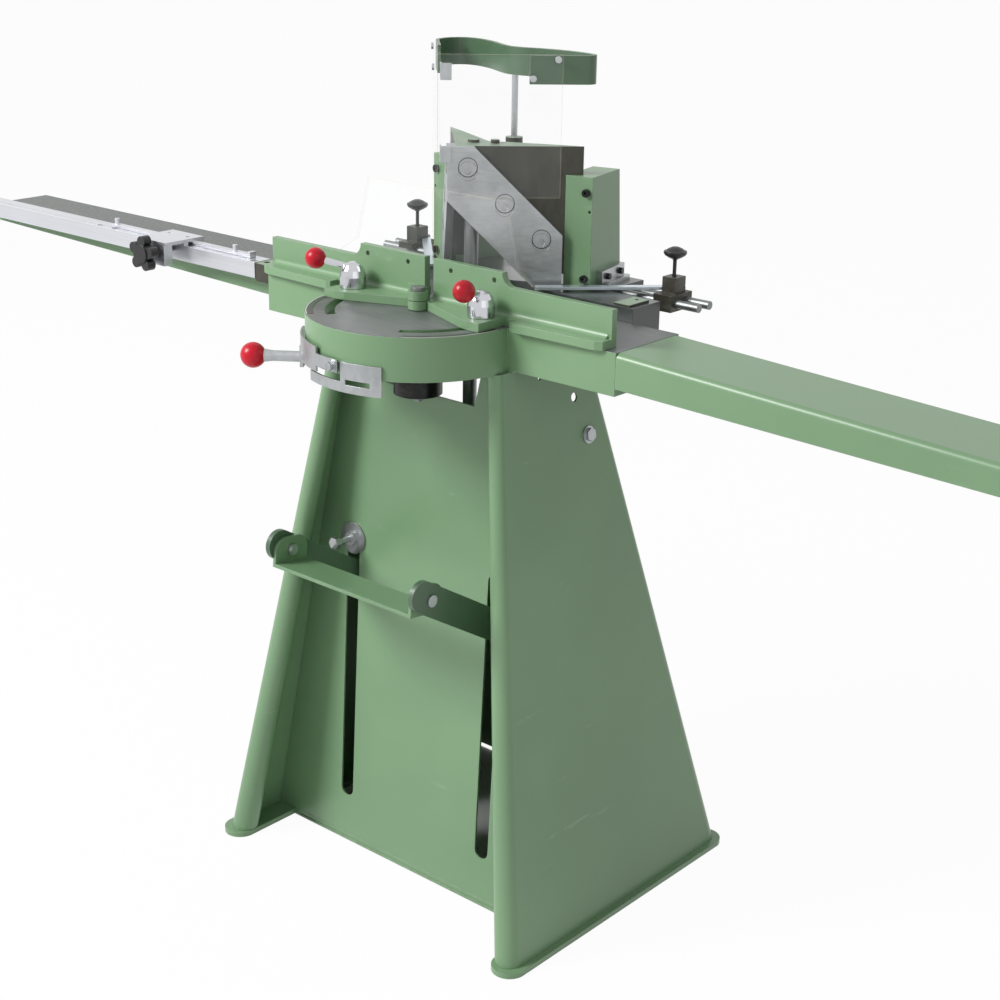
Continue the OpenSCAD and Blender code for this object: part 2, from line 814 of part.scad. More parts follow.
// Everything below a line that runs down at 45 degrees along the right-hand face
module below_edge(z, slope_run) {
  along_y(-40, 200) polygon([[-200, z + 200], [slope_run, z - slope_run], [slope_run, -far], [-200, -far]]);
}

edge_relief = 16;
rod_bracket_z = 1050;
rod_bush_r = 12;

module knife_block() {
  low = knife_low_z + edge_relief;
  color(oily) difference() {
    union() {
      difference() {
        translate([0, 0, low]) linear_extrude(head_z - low) polygon(block_plan(0));
        for (side = [-1, 1]) on_side(side) intersection() {
          on_face(block_y) below_edge(edge_z + edge_relief * root2, knife_l);
          translate([-0.01, 0, 0]) cube([far, far, far]);
        }
      }
      difference() {
        union() {
          translate([-9, block_back_y - 12, rod_bracket_z]) cube([18, rod_y - block_back_y + 12, 22]);
          translate([0, rod_y, rod_bracket_z]) cylinder(r = rod_bush_r, h = 33);
        }
        translate([0, rod_y, rod_bracket_z - 1]) cylinder(r = rod_r + run_gap, h = 60);
      }
      translate([0, pull_y, edge_z + 8]) cylinder(r = pull_r + 6, h = 30);
      translate([-7, block_back_y - 22, head_z - 0.01]) cylinder(r = 8, h = 4);
      translate([20, block_back_y - 8, head_z - 0.01]) cylinder(r = 6, h = 5);
    }
    translate([0, pull_y, edge_z - 20]) cylinder(r = pull_r + run_gap, h = 58);
    for (side = [-1, 1]) on_side(side) on_face(block_y) for (i = [0 : 2])
      translate([screw_u(i) - knife_t, -1, screw_z(i)]) rotate([-90, 0, 0]) cylinder(r = 5 + run_gap, h = 6);
  }
}

bevel_rise = 17;
shoulder_u = 37;
shoulder_end_z = 963;
toe_u = knife_l - 41;
knife_screw_r = 12.8;

function screw_u(i) = 28 + i * 51;
function screw_z(i) = head_z - 32 - i * 49;

module knife() {
  intersection() {
    on_face(apex_y) difference() {
      translate([0, knife_t, 0]) rotate([90, 0, 0]) linear_extrude(knife_t) polygon([
        [-knife_t, edge_z + knife_t], [-knife_t, head_z], [shoulder_u, head_z],
        [knife_l, shoulder_end_z], [knife_l, knife_low_z], [toe_u, knife_low_z],
        [toe_u, edge_z - toe_u]
      ]);
      translate([0, 0, edge_z]) rotate([0, 45, 0]) rotate([90, 0, 90]) translate([0, 0, -60])
        linear_extrude(60 + toe_u * root2)
          polygon([
            [-1, -1.5], [0, 0], [knife_t + 1, bevel_rise * (knife_t + 1) / knife_t], [knife_t + 1, -1.5]
          ]);
      for (i = [0 : 2]) translate([screw_u(i), 0, screw_z(i)]) rotate([-90, 0, 0]) {
        translate([0, 0, -1]) cylinder(r = knife_screw_r + 0.2, h = 7);
        translate([0, 0, -1]) cylinder(r = 5.5, h = knife_t + 2);
      }
    }
    translate([0.01, 0, 0]) cube([far, far, far]);
  }
}

module knife_left() {
  color(steel) on_side(-1) knife();
}

module knife_right() {
  color(steel) knife();
}

// The flat round screws that hold both knives
module knife_screws() {
  color(oily) for (side = [-1, 1]) on_side(side) on_face(apex_y) for (i = [0 : 2])
    translate([screw_u(i), 0, screw_z(i)]) rotate([-90, 0, 0]) difference() {
      union() {
        translate([0, 0, 0.3]) cylinder(r = knife_screw_r, h = 5.6);
        translate([0, 0, 0.3]) cylinder(r = 5, h = knife_t + 4);
      }
      translate([0, 0, -1]) cylinder(r = 5, h = 4.5, $fn = 6);
    }
}

yoke_t = 12;
bar_low_y = shaft_y - bar_reach;
bar_z0 = shaft_z + bar_reach * sin(pedal_slope);
bar_y0 = shaft_y - bar_reach * cos(pedal_slope);
yoke_gap = 1.5;
yoke_lift = 0.9;
slot_front = bar_low_y - feed - 4;
slot_back = bar_y0 + 4;

// The rod from the head down to the slotted yoke round the pedal's bar
module pull_rod() {
  color(oily) {
    translate([0, pull_y, bar_z0 + 26]) cylinder(r = pull_r, h = edge_z + 36 - bar_z0 - 26);
    along_x(-yoke_t / 2, yoke_t / 2) difference() {
      union() {
        translate([slot_front - 14, bar_z0 - 24]) square([slot_back - slot_front + 28, 50]);
        translate([pull_y - 16, bar_z0 + 20]) square([32, 22]);
      }
      yoke_slot();
    }
  }
}

module yoke_slot() {
  r = bar_r + yoke_gap;
  for (y = [slot_front, slot_back]) translate([y, bar_z0 + yoke_lift]) circle(r = r);
  translate([slot_front, bar_z0 + yoke_lift - r]) square([slot_back - slot_front, 2 * r]);
}

// ---- Carriage ----------------------------------------------------------

column_turn = 13;
column_w = 41;
column_d = 86;
column_foot_d = 100;
column_x = 107.6;
column_y = 179.6;
middle_half = 165;
middle_back_y = 290;
support_ys = [240, 265];
support_z = 880;

// Plan of the room that the head needs in the carriage
module head_room() {
  polygon(block_plan(face_gap));
  polygon([
    [0, mouth_y], [knife_l / root2 + 0.6, mouth_y + knife_l / root2 + 0.6],
    [knife_l / root2 - knife_t + 0.6, mouth_y + knife_l / root2 + knife_t + 0.6], [0, block_back_y],
    [-knife_l / root2 + knife_t - 0.6, mouth_y + knife_l / root2 + knife_t + 0.6],
    [-knife_l / root2 - 0.6, mouth_y + knife_l / root2 + 0.6]
  ]);
}

module carriage() {
  color(dark_green) difference() {
    union() {
      translate([-carriage_half, carriage_y, carriage_low_z])
        cube([2 * carriage_half, 60.5, carriage_z - carriage_low_z]);
      translate([-middle_half, carriage_y + 1, carriage_low_z])
        cube([2 * middle_half, middle_back_y - carriage_y - 1, carriage_z - carriage_low_z]);
    }
    translate([0, 0, carriage_low_z - 1]) linear_extrude(60) head_room();
    for (side = [-1, 1]) on_side(side) {
      translate([key_x - key_w / 2 - face_gap, carriage_y - 1, carriage_low_z - 1])
        cube([key_w + 2 * face_gap, far, key_h + 1 + face_gap]);
      for (y = support_ys) translate([middle_half - 30, y, support_z]) rotate([0, 90, 0])
        cylinder(r = support_r + run_gap, h = 40);
      translate([middle_half + 14, carriage_y + 8, carriage_low_z - 1])
        cube([carriage_half - middle_half - 22, 44, 34]);
    }
  }
}

module column() {
  difference() {
    translate([column_x, column_y, carriage_z]) rotate(column_turn) along_x(0, column_w)
      polygon([[0, 0], [column_foot_d, 0], [column_d, column_z - carriage_z], [0, column_z - carriage_z]]);
    translate([0, 0, carriage_z - 1]) linear_extrude(200) polygon(block_plan(face_gap));
    for (z = [column_screw_low, column_screw_high]) translate([column_x, column_y, z]) rotate(column_turn)
      translate([column_w - 9, -1, 0]) rotate([-90, 0, 0]) cylinder(r = 3.05, h = 14);
    translate([column_x, column_y, column_z - 47.5]) rotate(column_turn)
      translate([column_w - 4, -1, 0]) rotate([-90, 0, 0]) cylinder(r = 2, h = 8);
  }
}

column_screw_low = 904;
column_screw_high = 1023;

module column_left() {
  color(green) on_side(-1) column();
}

module column_right() {
  color(green) column();
}

column_foot_t = 9;
column_foot_back = column_foot_d - 5;

// The small angle that clamps each column's outer side to the carriage
module column_feet() {
  color(steel) for (side = [-1, 1]) on_side(side) translate([column_x, column_y, carriage_z])
    rotate(column_turn) translate([column_w, column_foot_back - 74, 0]) {
      cube([column_foot_t, 74, 22]);
      cube([column_foot_t + 9, 74, 6]);
    }
}

module column_screws() {
  color(black) for (side = [-1, 1]) on_side(side) {
    translate([column_x, column_y, 0]) rotate(column_turn) {
      for (z = [column_screw_low, column_screw_high]) translate([column_w - 9, 0, z]) rotate([90, 0, 0]) {
        difference() {
          translate([0, 0, 0.02]) cylinder(r = 5.5, h = 5);
          translate([0, 0, 2]) cylinder(r = 2.6, h = 4, $fn = 6);
        }
        translate([0, 0, -11]) cylinder(r = 3, h = 11.5);
      }
      for (y = [column_foot_back - 58, column_foot_back - 16])
        translate([column_w + column_foot_t, y, carriage_z + 13])
        rotate([0, 90, 0]) cylinder(r = 4.5, h = 5);
    }
  }
}

module support_rod_pair() {
  for (y = support_ys) translate([middle_half - 30, y, support_z]) rotate([0, 90, 0])
    cylinder(r = support_r, h = support_x - middle_half + 30);
}

module support_rods_left() {
  color(black) on_side(-1) support_rod_pair();
}

module support_rods_right() {
  color(black) support_rod_pair();
}

// The bright plate on the carriage's right end
module finger_plate() {
  color(chrome) difference() {
    translate([carriage_half - 34, carriage_y + 2, carriage_z]) cube([26, 44, 3]);
    translate([carriage_half - 21, carriage_y + 36, carriage_z - 1]) cylinder(r = 3, h = 6);
  }
}

// ---- Guard -------------------------------------------------------------

glass_in_y = guard_y + glass_t * root2;
bow_gap = 0.35;
bow_y = glass_in_y + bow_t / root2 + bow_gap * root2;
bow_low_z = glass_high_z - bow_h - 1;
bow_corner_x = 134;
bow_edge_x = 82;
bow_mid = (bow_corner_x + bow_edge_x) / 2;
bow_face = [
  [bow_edge_x, bow_y + bow_edge_x], [bow_mid, bow_y + bow_mid], [bow_corner_x, bow_y + bow_corner_x]
];
bow_right = concat(bow_face, [
  [bow_corner_x + 5.5, rod_y - 6], [bow_corner_x + 3, rod_y + 3], [bow_corner_x - 7, rod_y + 8],
  [105, rod_y + 13], [72, rod_y + 14.5], [38, rod_y + 9], [16, rod_y + 2]
]);
bow_left = concat(bow_face, [
  [bow_corner_x + 10, rod_y + 2], [bow_corner_x + 10, rod_y + 24], [bow_corner_x - 4, rod_y + 42],
  [104, rod_y + 43], [70, rod_y + 31], [40, rod_y + 14], [16, rod_y + 2]
]);

// The flat bow that carries the clear sheets
module guard_bow() {
  color(oily) difference() {
    translate([0, 0, bow_low_z]) linear_extrude(bow_h)
      strip(curve(concat(bow_right, [[0, rod_y]], [for (p = reversed(bow_left)) [-p[0], p[1]]]), 4), bow_t);
  }
}

rod_low_z = 1012;

module guard_rod() {
  color(steel) translate([0, rod_y, rod_low_z]) cylinder(r = rod_r, h = bow_low_z - rod_low_z - 0.02);
}

bow_screws = [[160, 1201], [127, 1176]];

// One clear sheet, cut square at the apex plane between the two
module guard_glass() {
  color(clear) intersection() {
    on_face(guard_y) translate([-glass_t, 0, glass_low_z])
      cube([glass_l + glass_t, glass_t, glass_high_z - glass_low_z]);
    translate([0.02, 0, 0]) cube([far, far, far]);
  }
}

module guard_glass_left() {
  on_side(-1) guard_glass();
}

module guard_glass_right() {
  guard_glass();
}

clip_h = 22;
clip_l = 15;

// The two angle clips inside the apex and the screws into the bow
module guard_clips() {
  color(chrome) {
    for (z = [1075, 1195 - clip_h / 2]) for (side = [-1, 1]) on_side(side) intersection() {
      on_face(glass_in_y + 0.03) translate([-4, 0, z - clip_h / 2]) cube([clip_l + 4, 2, clip_h]);
      cube([far, far, far]);
    }
    for (side = [-1, 1]) on_side(side) on_face(guard_y) for (screw = bow_screws)
      translate([screw[0], -0.02, screw[1]]) rotate([90, 0, 0]) cylinder(r = 4.5, h = 3.2);
  }
}

// ---- Fences ------------------------------------------------------------

fence_in_x = 8;
fence_low_z = table_z + 0.3;
fence_foot_z = fence_low_z + fence_foot_t;
fence_back_y = fence_y + fence_t;
tall_end_x = 138;
step_r = 12;
fillet_r = 8;
window_x0 = 144;
window_x1 = 168;
foot_deep_y = -38;
face_hole_xs = [40, 118];
face_hole_z = 926;
face_hole_r = 3.5;
stud_r = 4;

module fence_web() {
  low_z = table_z + fence_low;
  high_z = table_z + fence_high;
  along_y(fence_y, fence_back_y) difference() {
    union() {
      translate([fence_in_x, fence_low_z]) square([fence_l - fence_in_x, low_z - fence_low_z]);
      translate([fence_in_x, fence_low_z]) square([tall_end_x - fence_in_x, high_z - fence_low_z]);
      translate([tall_end_x - 1, low_z - 1]) square([step_r + 1, high_z - low_z + 1]);
    }
    translate([tall_end_x + step_r, high_z]) circle(r = high_z - low_z);
    for (x = face_hole_xs) translate([x, face_hole_z]) circle(r = face_hole_r);
  }
}

module fence_foot_plan() {
  difference() {
    polygon([
      [fence_in_x, fence_back_y], [fence_in_x, 3], [13, 3], [108, foot_deep_y + 3], [124, foot_deep_y],
      [window_x0, foot_deep_y], [window_x0, 12], [window_x1, 12], [window_x1, -4], [175, -6],
      [fence_l - 10, -1], [fence_l, 4], [fence_l, fence_back_y]
    ]);
    circle(r = lug_r + 0.6);
  }
}

// A fence with its foot, its swing lug and the fillet between foot and face
module fence(lug_z) {
  difference() {
    union() {
      fence_web();
      translate([0, 0, fence_low_z]) linear_extrude(fence_foot_t) fence_foot_plan();
      difference() {
        translate([fence_in_x, fence_y - fillet_r, fence_foot_z - 1])
          cube([fence_l - fence_in_x - 6, fillet_r + 1, fillet_r + 1]);
        translate([0, fence_y - fillet_r, fence_foot_z + fillet_r]) rotate([0, 90, 0])
          cylinder(r = fillet_r, h = far);
      }
      translate([0, 0, lug_z]) linear_extrude(lug_t) {
        circle(r = lug_r);
        polygon([
          [3, lug_r - 1], [fence_in_x - 2, fence_back_y], [40, fence_back_y], [40, fence_y], [lug_r - 1, 3]
        ]);
      }
    }
    translate([0, 0, fence_low_z - 1]) cylinder(r = pin_r + run_gap, h = 60);
    translate([clamp_x, clamp_y, fence_low_z - 1]) cylinder(r = stud_r + run_gap, h = 20);
  }
}

module fence_left() {
  color(steel) on_side(-1) fence(lug_high_z);
}

module fence_right() {
  color(steel) fence(lug_low_z);
}

shield_low_z = 900;

// The small clear shield on the back of a fence
module fence_shield() {
  color(clear) along_y(fence_back_y + 0.02, fence_back_y + glass_t) difference() {
    polygon([[4, shield_low_z], [4, 1030], [127, 1030], [150, 942], [183, 921], [183, shield_low_z]]);
    for (x = face_hole_xs) translate([x, face_hole_z]) circle(r = face_hole_r);
  }
}

module fence_shield_left() {
  on_side(-1) fence_shield();
}

module fence_shield_right() {
  fence_shield();
}

// ---- Fence clamps ------------------------------------------------------

clamp_low_z = fence_foot_z + 0.3;
clamp_top_z = 918;
clamp_rod_z = 909;
clamp_ball_r = 15;
ball_left = [-167, -32, 920];
ball_right = [130, -51, 925];

// The stud through fence and table, with its nut under the curved slot
module clamp_stud() {
  translate([clamp_x, clamp_y, cavity_z - 8]) cylinder(r = stud_r, h = clamp_top_z - 9 - cavity_z + 8);
  translate([clamp_x, clamp_y, cavity_z - 8]) cylinder(r = 9, h = 8 - face_gap);
}

module clamp_stud_left() {
  color(steel) on_side(-1) clamp_stud();
}

module clamp_stud_right() {
  color(steel) clamp_stud();
}

clamp_rod_r = 4.5;

// The lever from a clamp's hub into its ball
module clamp_rod(from, ball, r) {
  bar_between(from, ball + (from - ball) * (clamp_ball_r * 0.5 / norm(ball - from)), r);
}

// The chrome hub on the stud, with its tapered top and lever
module clamp(from, ball) {
  h = clamp_top_z - clamp_low_z;
  foot = [from[0], from[1], clamp_low_z];
  color(chrome) difference() {
    union() {
      translate(foot) {
        cylinder(r = 18.5, h = h - 20);
        translate([0, 0, h - 20]) cylinder(r1 = 18.5, r2 = 16.5, h = 9);
        translate([0, 0, h - 11]) cylinder(r1 = 16.5, r2 = 12, h = 7);
        translate([0, 0, h - 4]) cylinder(r1 = 12, r2 = 4, h = 4);
      }
      clamp_rod(from, ball, clamp_rod_r);
    }
    translate(foot - [0, 0, 1]) cylinder(r = stud_r + run_gap, h = h - 7);
  }
}

module clamp_ball(from, ball) {
  color("red") difference() {
    translate(ball) sphere(r = clamp_ball_r, $fn = 64);
    clamp_rod(from, ball, clamp_rod_r + run_gap);
  }
}

clamp_left_hub = [-clamp_x, clamp_y, clamp_rod_z];
clamp_right_hub = [clamp_x, clamp_y, clamp_rod_z];

module clamp_left() {
  clamp(clamp_left_hub, ball_left);
}

module clamp_right() {
  clamp(clamp_right_hub, ball_right);
}

module clamp_ball_left() {
  clamp_ball(clamp_left_hub, ball_left);
}

module clamp_ball_right() {
  clamp_ball(clamp_right_hub, ball_right);
}

// ---- Feed lever --------------------------------------------------------

lever_angle = -143.5;
lever_z = 797;
lever_r = 7.5;
lever_ball_reach = 230;
lever_ball_r = 18;
lever_seat = lever_ball_r - 2;
ferrule_l = 12;
ferrule_r = 9;
hub_top_z = stand_h - face_gap;
hub_r0 = 34;
hub_r1 = 46;

module feed_hub() {
  color(black) difference() {
    union() {
      translate([0, 0, hub_low_z]) cylinder(r = hub_r0, h = hub_top_z - hub_low_z - 4);
      translate([0, 0, lever_z - 13]) cylinder(r = hub_r1, h = hub_top_z - lever_z + 9);
    }
    translate([0, 0, hub_low_z - 1]) cylinder(r = pin_r + run_gap, h = 80);
    rotate(lever_angle) translate([hub_r1 - 26, 0, lever_z]) rotate([0, 90, 0])
      cylinder(r = lever_r + run_gap, h = 60);
  }
}

band_low_z = 806;
band_high_z = 840;
band_first = -145;
band_last = -88;

// The band round the table's rim, deep at the lever and narrow at its far end
module feed_band() {
  r0 = band_r;
  r1 = band_r + band_t;
  color(steel) difference() {
    union() {
      translate([0, 0, band_low_z]) linear_extrude(band_high_z - band_low_z)
        sector(r0, r1, band_first, band_last);
      rotate(lever_angle) translate([r0, -13, lever_z - lever_r - 4]) cube([5, 26, 30]);
      rotate(band_last - 3) translate([r1 - 1, 0, 822]) rotate([0, 90, 0]) {
        cylinder(r = 8, h = 3);
        translate([0, 0, 3]) hexagon(11, 6);
      }
    }
    translate([0, 0, band_low_z - 20]) linear_extrude(28)
      sector(r0 - 3, r1 + 1, band_last - 16, band_last + 6);
    translate([0, 0, band_high_z - 9]) linear_extrude(28)
      sector(r0 - 3, r1 + 1, band_last - 16, band_last + 6);
    rotate(lever_angle) translate([r0 - 10, 0, lever_z]) rotate([0, 90, 0])
      cylinder(r = lever_r + run_gap, h = 30);
  }
}

module feed_lever() {
  color(steel) rotate(lever_angle) translate([0, 0, lever_z]) rotate([0, 90, 0]) {
    translate([0, 0, hub_r1 - 24]) cylinder(r = lever_r, h = lever_ball_reach - lever_seat - hub_r1 + 24);
    translate([0, 0, lever_ball_reach - lever_seat - ferrule_l])
      cylinder(r1 = lever_r, r2 = ferrule_r, h = ferrule_l);
  }
}

module feed_ball() {
  color("red") rotate(lever_angle) translate([lever_ball_reach, 0, lever_z]) difference() {
    sphere(r = lever_ball_r, $fn = 64);
    translate([-lever_seat - 9.98, 0, 0]) rotate([0, 90, 0]) cylinder(r = 12, h = 10);
  }
}

// ---- Rear supports -----------------------------------------------------

support_block_x = 243;
support_bar_y = 30;
support_bar_w = 13;
support_bar_low = 893;

module support_block() {
  y0 = support_ys[0] - 12;
  y1 = support_ys[1] + 12;
  difference() {
    union() {
      translate([support_block_x - 15, y0, support_z - 11]) cube([30, y1 - y0, 23]);
      translate([support_block_x - 11, y0 + 14, support_z + 12]) cube([22, 24, 22]);
    }
    for (y = support_ys) translate([0, y, support_z])
      rotate([0, 90, 0]) cylinder(r = support_r + run_gap, h = far);
    translate([support_block_x, y0 + 26, support_z + 10]) cylinder(r = 4 + run_gap, h = 30);
    on_face(support_bar_y) translate([0, -support_bar_w / 2 - 0.1, support_bar_low - 0.1])
      cube([far, support_bar_w + 0.2, 4.6]);
  }
  on_face(support_bar_y) translate([140, -support_bar_w / 2, support_bar_low]) cube([208, support_bar_w, 4]);
}

module support_left() {
  color(steel) on_side(-1) support_block();
}

module support_right() {
  color(steel) support_block();
}

module support_knob() {
  translate([support_block_x, support_ys[0] + 14, support_z + 14]) cylinder(r = 4, h = 30);
  translate([support_block_x, support_ys[0] + 14, support_z + 40]) {
    cylinder(r = 15, h = 15);
    for (a = [0 : 45 : 315]) rotate(a) translate([14, 0, 0]) cylinder(r = 3, h = 15, $fn = 24);
  }
}

module support_knob_left() {
  color(black) on_side(-1) support_knob();
}

module support_knob_right() {
  color(black) support_knob();
}

stand_left();
stand_right();
stand_panel();
foot_left();
foot_right();
stand_bolts();
slot_stop();
table();
scales();
fence_pin();
bed();
quadrant();
arm_left();
arm_rail();
rail_bracket();
arm_right();
pedal_arm_left();
pedal_arm_right();
pedal_shaft();
pedal_bar();
pedal_tread();
tread_bolts();
carriage();
column_left();
column_right();
column_feet();
column_screws();
support_rods_left();
support_rods_right();
finger_plate();
knife_block();
knife_left();
knife_right();
knife_screws();
pull_rod();
guard_bow();
guard_rod();
guard_glass_left();
guard_glass_right();
guard_clips();
fence_left();
fence_right();
fence_shield_left();
fence_shield_right();
clamp_stud_left();
clamp_stud_right();
clamp_left();
clamp_right();
clamp_ball_left();
clamp_ball_right();
feed_hub();
feed_band();
feed_lever();
feed_ball();
stop_slider();
stop_knob();
support_left();
support_right();
support_knob_left();
support_knob_right();
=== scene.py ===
import bpy
import bmesh
import math
from mathutils import Matrix, Vector


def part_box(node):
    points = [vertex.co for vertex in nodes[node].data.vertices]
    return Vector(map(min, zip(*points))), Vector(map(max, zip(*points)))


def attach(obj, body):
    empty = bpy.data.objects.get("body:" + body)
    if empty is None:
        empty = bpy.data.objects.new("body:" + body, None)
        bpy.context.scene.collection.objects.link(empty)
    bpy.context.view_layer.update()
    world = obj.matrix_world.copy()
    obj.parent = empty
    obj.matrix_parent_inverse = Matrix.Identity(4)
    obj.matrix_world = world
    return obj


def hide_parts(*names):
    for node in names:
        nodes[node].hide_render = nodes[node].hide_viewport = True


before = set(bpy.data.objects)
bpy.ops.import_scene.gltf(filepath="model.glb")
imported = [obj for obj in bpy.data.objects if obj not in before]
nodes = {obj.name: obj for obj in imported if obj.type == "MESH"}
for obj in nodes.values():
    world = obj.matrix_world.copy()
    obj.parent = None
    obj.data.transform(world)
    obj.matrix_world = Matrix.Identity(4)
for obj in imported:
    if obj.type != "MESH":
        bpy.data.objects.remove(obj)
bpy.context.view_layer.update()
scene = bpy.context.scene
mm = 0.001

# Camera, as the photograph was taken
cameraView = {
    "place": (1.6598, -1.7436, 1.4675),
    "turn": 40.83,      # degrees about Z, from looking along +Y
    "downward": 19.94,
    "roll": 0.93,
    "lens": 65.08,
    "sensor": 36.0,
}


def makeCamera(view):
    data = bpy.data.cameras.new("photoCamera")
    data.lens = view["lens"]
    data.sensor_width = view["sensor"]
    data.sensor_fit = "HORIZONTAL"
    data.clip_start = 0.05
    data.clip_end = 200
    camera = bpy.data.objects.new("photoCamera", data)
    scene.collection.objects.link(camera)
    turn = Matrix.Rotation(math.radians(view["turn"]), 4, "Z")
    tilt = Matrix.Rotation(math.radians(90 - view["downward"]), 4, "X")
    roll = Matrix.Rotation(math.radians(view["roll"]), 4, "Z")
    camera.matrix_world = Matrix.Translation(view["place"]) @ turn @ tilt @ roll
    scene.camera = camera


makeCamera(cameraView)
print("camera ready")


# Shader maths: a socket that can be used in Python expressions
class Wire:
    def __init__(self, tree, socket):
        self.tree = tree
        self.socket = socket

    def math(self, operation, *others, clamp=False):
        node = self.tree.nodes.new("ShaderNodeMath")
        node.operation = operation
        node.use_clamp = clamp
        for place, value in enumerate((self,) + others):
            plug(self.tree, value, node.inputs[place])
        return Wire(self.tree, node.outputs[0])

    def __add__(self, other):
        return self.math("ADD", other)

    def __radd__(self, other):
        return self.math("ADD", other)

    def __sub__(self, other):
        return self.math("SUBTRACT", other)

    def __rsub__(self, other):
        return (self * -1).math("ADD", other)

    def __mul__(self, other):
        return self.math("MULTIPLY", other)

    def __rmul__(self, other):
        return self.math("MULTIPLY", other)

    def __truediv__(self, other):
        return self.math("DIVIDE", other)

    def __pow__(self, other):
        return self.math("POWER", other)

    def clamped(self):
        return self.math("ADD", 0.0, clamp=True)

    def smooth(self, low, high):
        node = self.tree.nodes.new("ShaderNodeMapRange")
        node.interpolation_type = "SMOOTHSTEP"
        plug(self.tree, self, node.inputs["Value"])
        node.inputs["From Min"].default_value = low
        node.inputs["From Max"].default_value = high
        return Wire(self.tree, node.outputs["Result"])


def plug(tree, value, socket):
    if isinstance(value, Wire):
        tree.links.new(value.socket, socket)
    elif value is not None:
        socket.default_value = value


class Finish:

    def __init__(self, name):
        self.material = bpy.data.materials.new(name)
        self.material.use_nodes = True
        self.tree = self.material.node_tree
        self.tree.nodes.clear()
        self.output = self.tree.nodes.new("ShaderNodeOutputMaterial")
        self.place = self.node("ShaderNodeTexCoord").out("Object")

    # any node: its type, its settings first, then its sockets by name
    def node(self, kind, settings=None, **sockets):
        made = self.tree.nodes.new(kind)
        for key, value in (settings or {}).items():
            if key == "stops":
                ramp = made.color_ramp
                while len(ramp.elements) > 1:
                    ramp.elements.remove(ramp.elements[-1])
                for index, (where, colour) in enumerate(value):
                    stop = ramp.elements[0] if index == 0 else ramp.elements.new(where)
                    stop.position = where
                    stop.color = colour
            else:
                setattr(made, key, value)
        for key, value in sockets.items():
            plug(self.tree, value, made.inputs[key.replace("_", " ")])
        return Made(self.tree, made)

    def noise(self, scale, detail=4.0, roughness=0.5, stretch=None):
        at = self.stretched(stretch) if stretch else self.place
        made = self.node("ShaderNodeTexNoise", Vector=at, Scale=scale, Detail=detail, Roughness=roughness)
        return made.out("Fac")

    def stretched(self, factors):
        return self.node("ShaderNodeMapping", Vector=self.place, Scale=factors).out("Vector")

    def blend(self, share, first, second):
        made = self.node("ShaderNodeMix", {"data_type": "RGBA"})
        plug(self.tree, share, made.made.inputs[0])
        plug(self.tree, first, made.made.inputs[6])
        plug(self.tree, second, made.made.inputs[7])
        return Wire(self.tree, made.made.outputs[2])

    def axis(self, letter):
        return self.node("ShaderNodeSeparateXYZ", Vector=self.place).out(letter)

    # 1 on faces that look up
    def facingUp(self):
        normal = self.node("ShaderNodeNewGeometry").out("Normal")
        return self.node("ShaderNodeSeparateXYZ", Vector=normal).out("Z").smooth(0.7, 0.9)

    # how much a spot lies on an outer edge, 0 to 1; the finishes lighten these edges, partly as wear and
    # partly as painted highlight
    def edge(self, reach, low=0.02, high=0.25):
        soft = self.node("ShaderNodeBevel", {"samples": 4}, Radius=reach).out("Normal")
        flat = self.node("ShaderNodeNewGeometry").out("Normal")
        dot = self.node("ShaderNodeVectorMath", {"operation": "DOT_PRODUCT"})
        plug(self.tree, soft, dot.made.inputs[0])
        plug(self.tree, flat, dot.made.inputs[1])
        return (1.0 - dot.out("Value")).smooth(low, high)

    def bump(self, height, strength, distance=0.001, rounding=0.0):
        under = None
        if rounding:
            under = self.node("ShaderNodeBevel", {"samples": 4}, Radius=rounding).out("Normal")
        made = self.node("ShaderNodeBump", Height=height, Strength=strength, Distance=distance,
                         Normal=under)
        return made.out("Normal")

    def surface(self, **sockets):
        shader = self.node("ShaderNodeBsdfPrincipled", **sockets)
        self.tree.links.new(shader.made.outputs["BSDF"], self.output.inputs["Surface"])
        return self.material


class Made:
    def __init__(self, tree, made):
        self.tree = tree
        self.made = made

    def out(self, name):
        return Wire(self.tree, self.made.outputs[name])


# Colours, as linear red, green and blue
tones = {
    "green": (0.190, 0.325, 0.175, 1),
    "greenDeep": (0.150, 0.270, 0.140, 1),
    "greenRubbedAndLit": (0.360, 0.480, 0.350, 1),
    # darker copies of the green, for painted shade
    "greenInShade": (0.085, 0.155, 0.085, 1),
    "greenDeepInShade": (0.052, 0.105, 0.056, 1),
    "primer": (0.110, 0.075, 0.045, 1),
    "steel": (0.330, 0.345, 0.350, 1),
    "steelDark": (0.150, 0.158, 0.155, 1),
    "steelBright": (0.560, 0.575, 0.590, 1),
    "oil": (0.038, 0.034, 0.024, 1),
    "oilBrown": (0.085, 0.060, 0.036, 1),
    "oilGrey": (0.085, 0.085, 0.070, 1),
    "black": (0.012, 0.012, 0.013, 1),
    "blackWorn": (0.050, 0.050, 0.050, 1),
    "red": (0.560, 0.002, 0.018, 1),
    "redDeep": (0.400, 0.001, 0.010, 1),
    "coal": (0.030, 0.036, 0.034, 1),
    "coalDust": (0.075, 0.085, 0.080, 1),
    "amber": (0.720, 0.660, 0.420, 1),
    "cream": (0.700, 0.700, 0.670, 1),
    "ink": (0.020, 0.020, 0.022, 1),
}


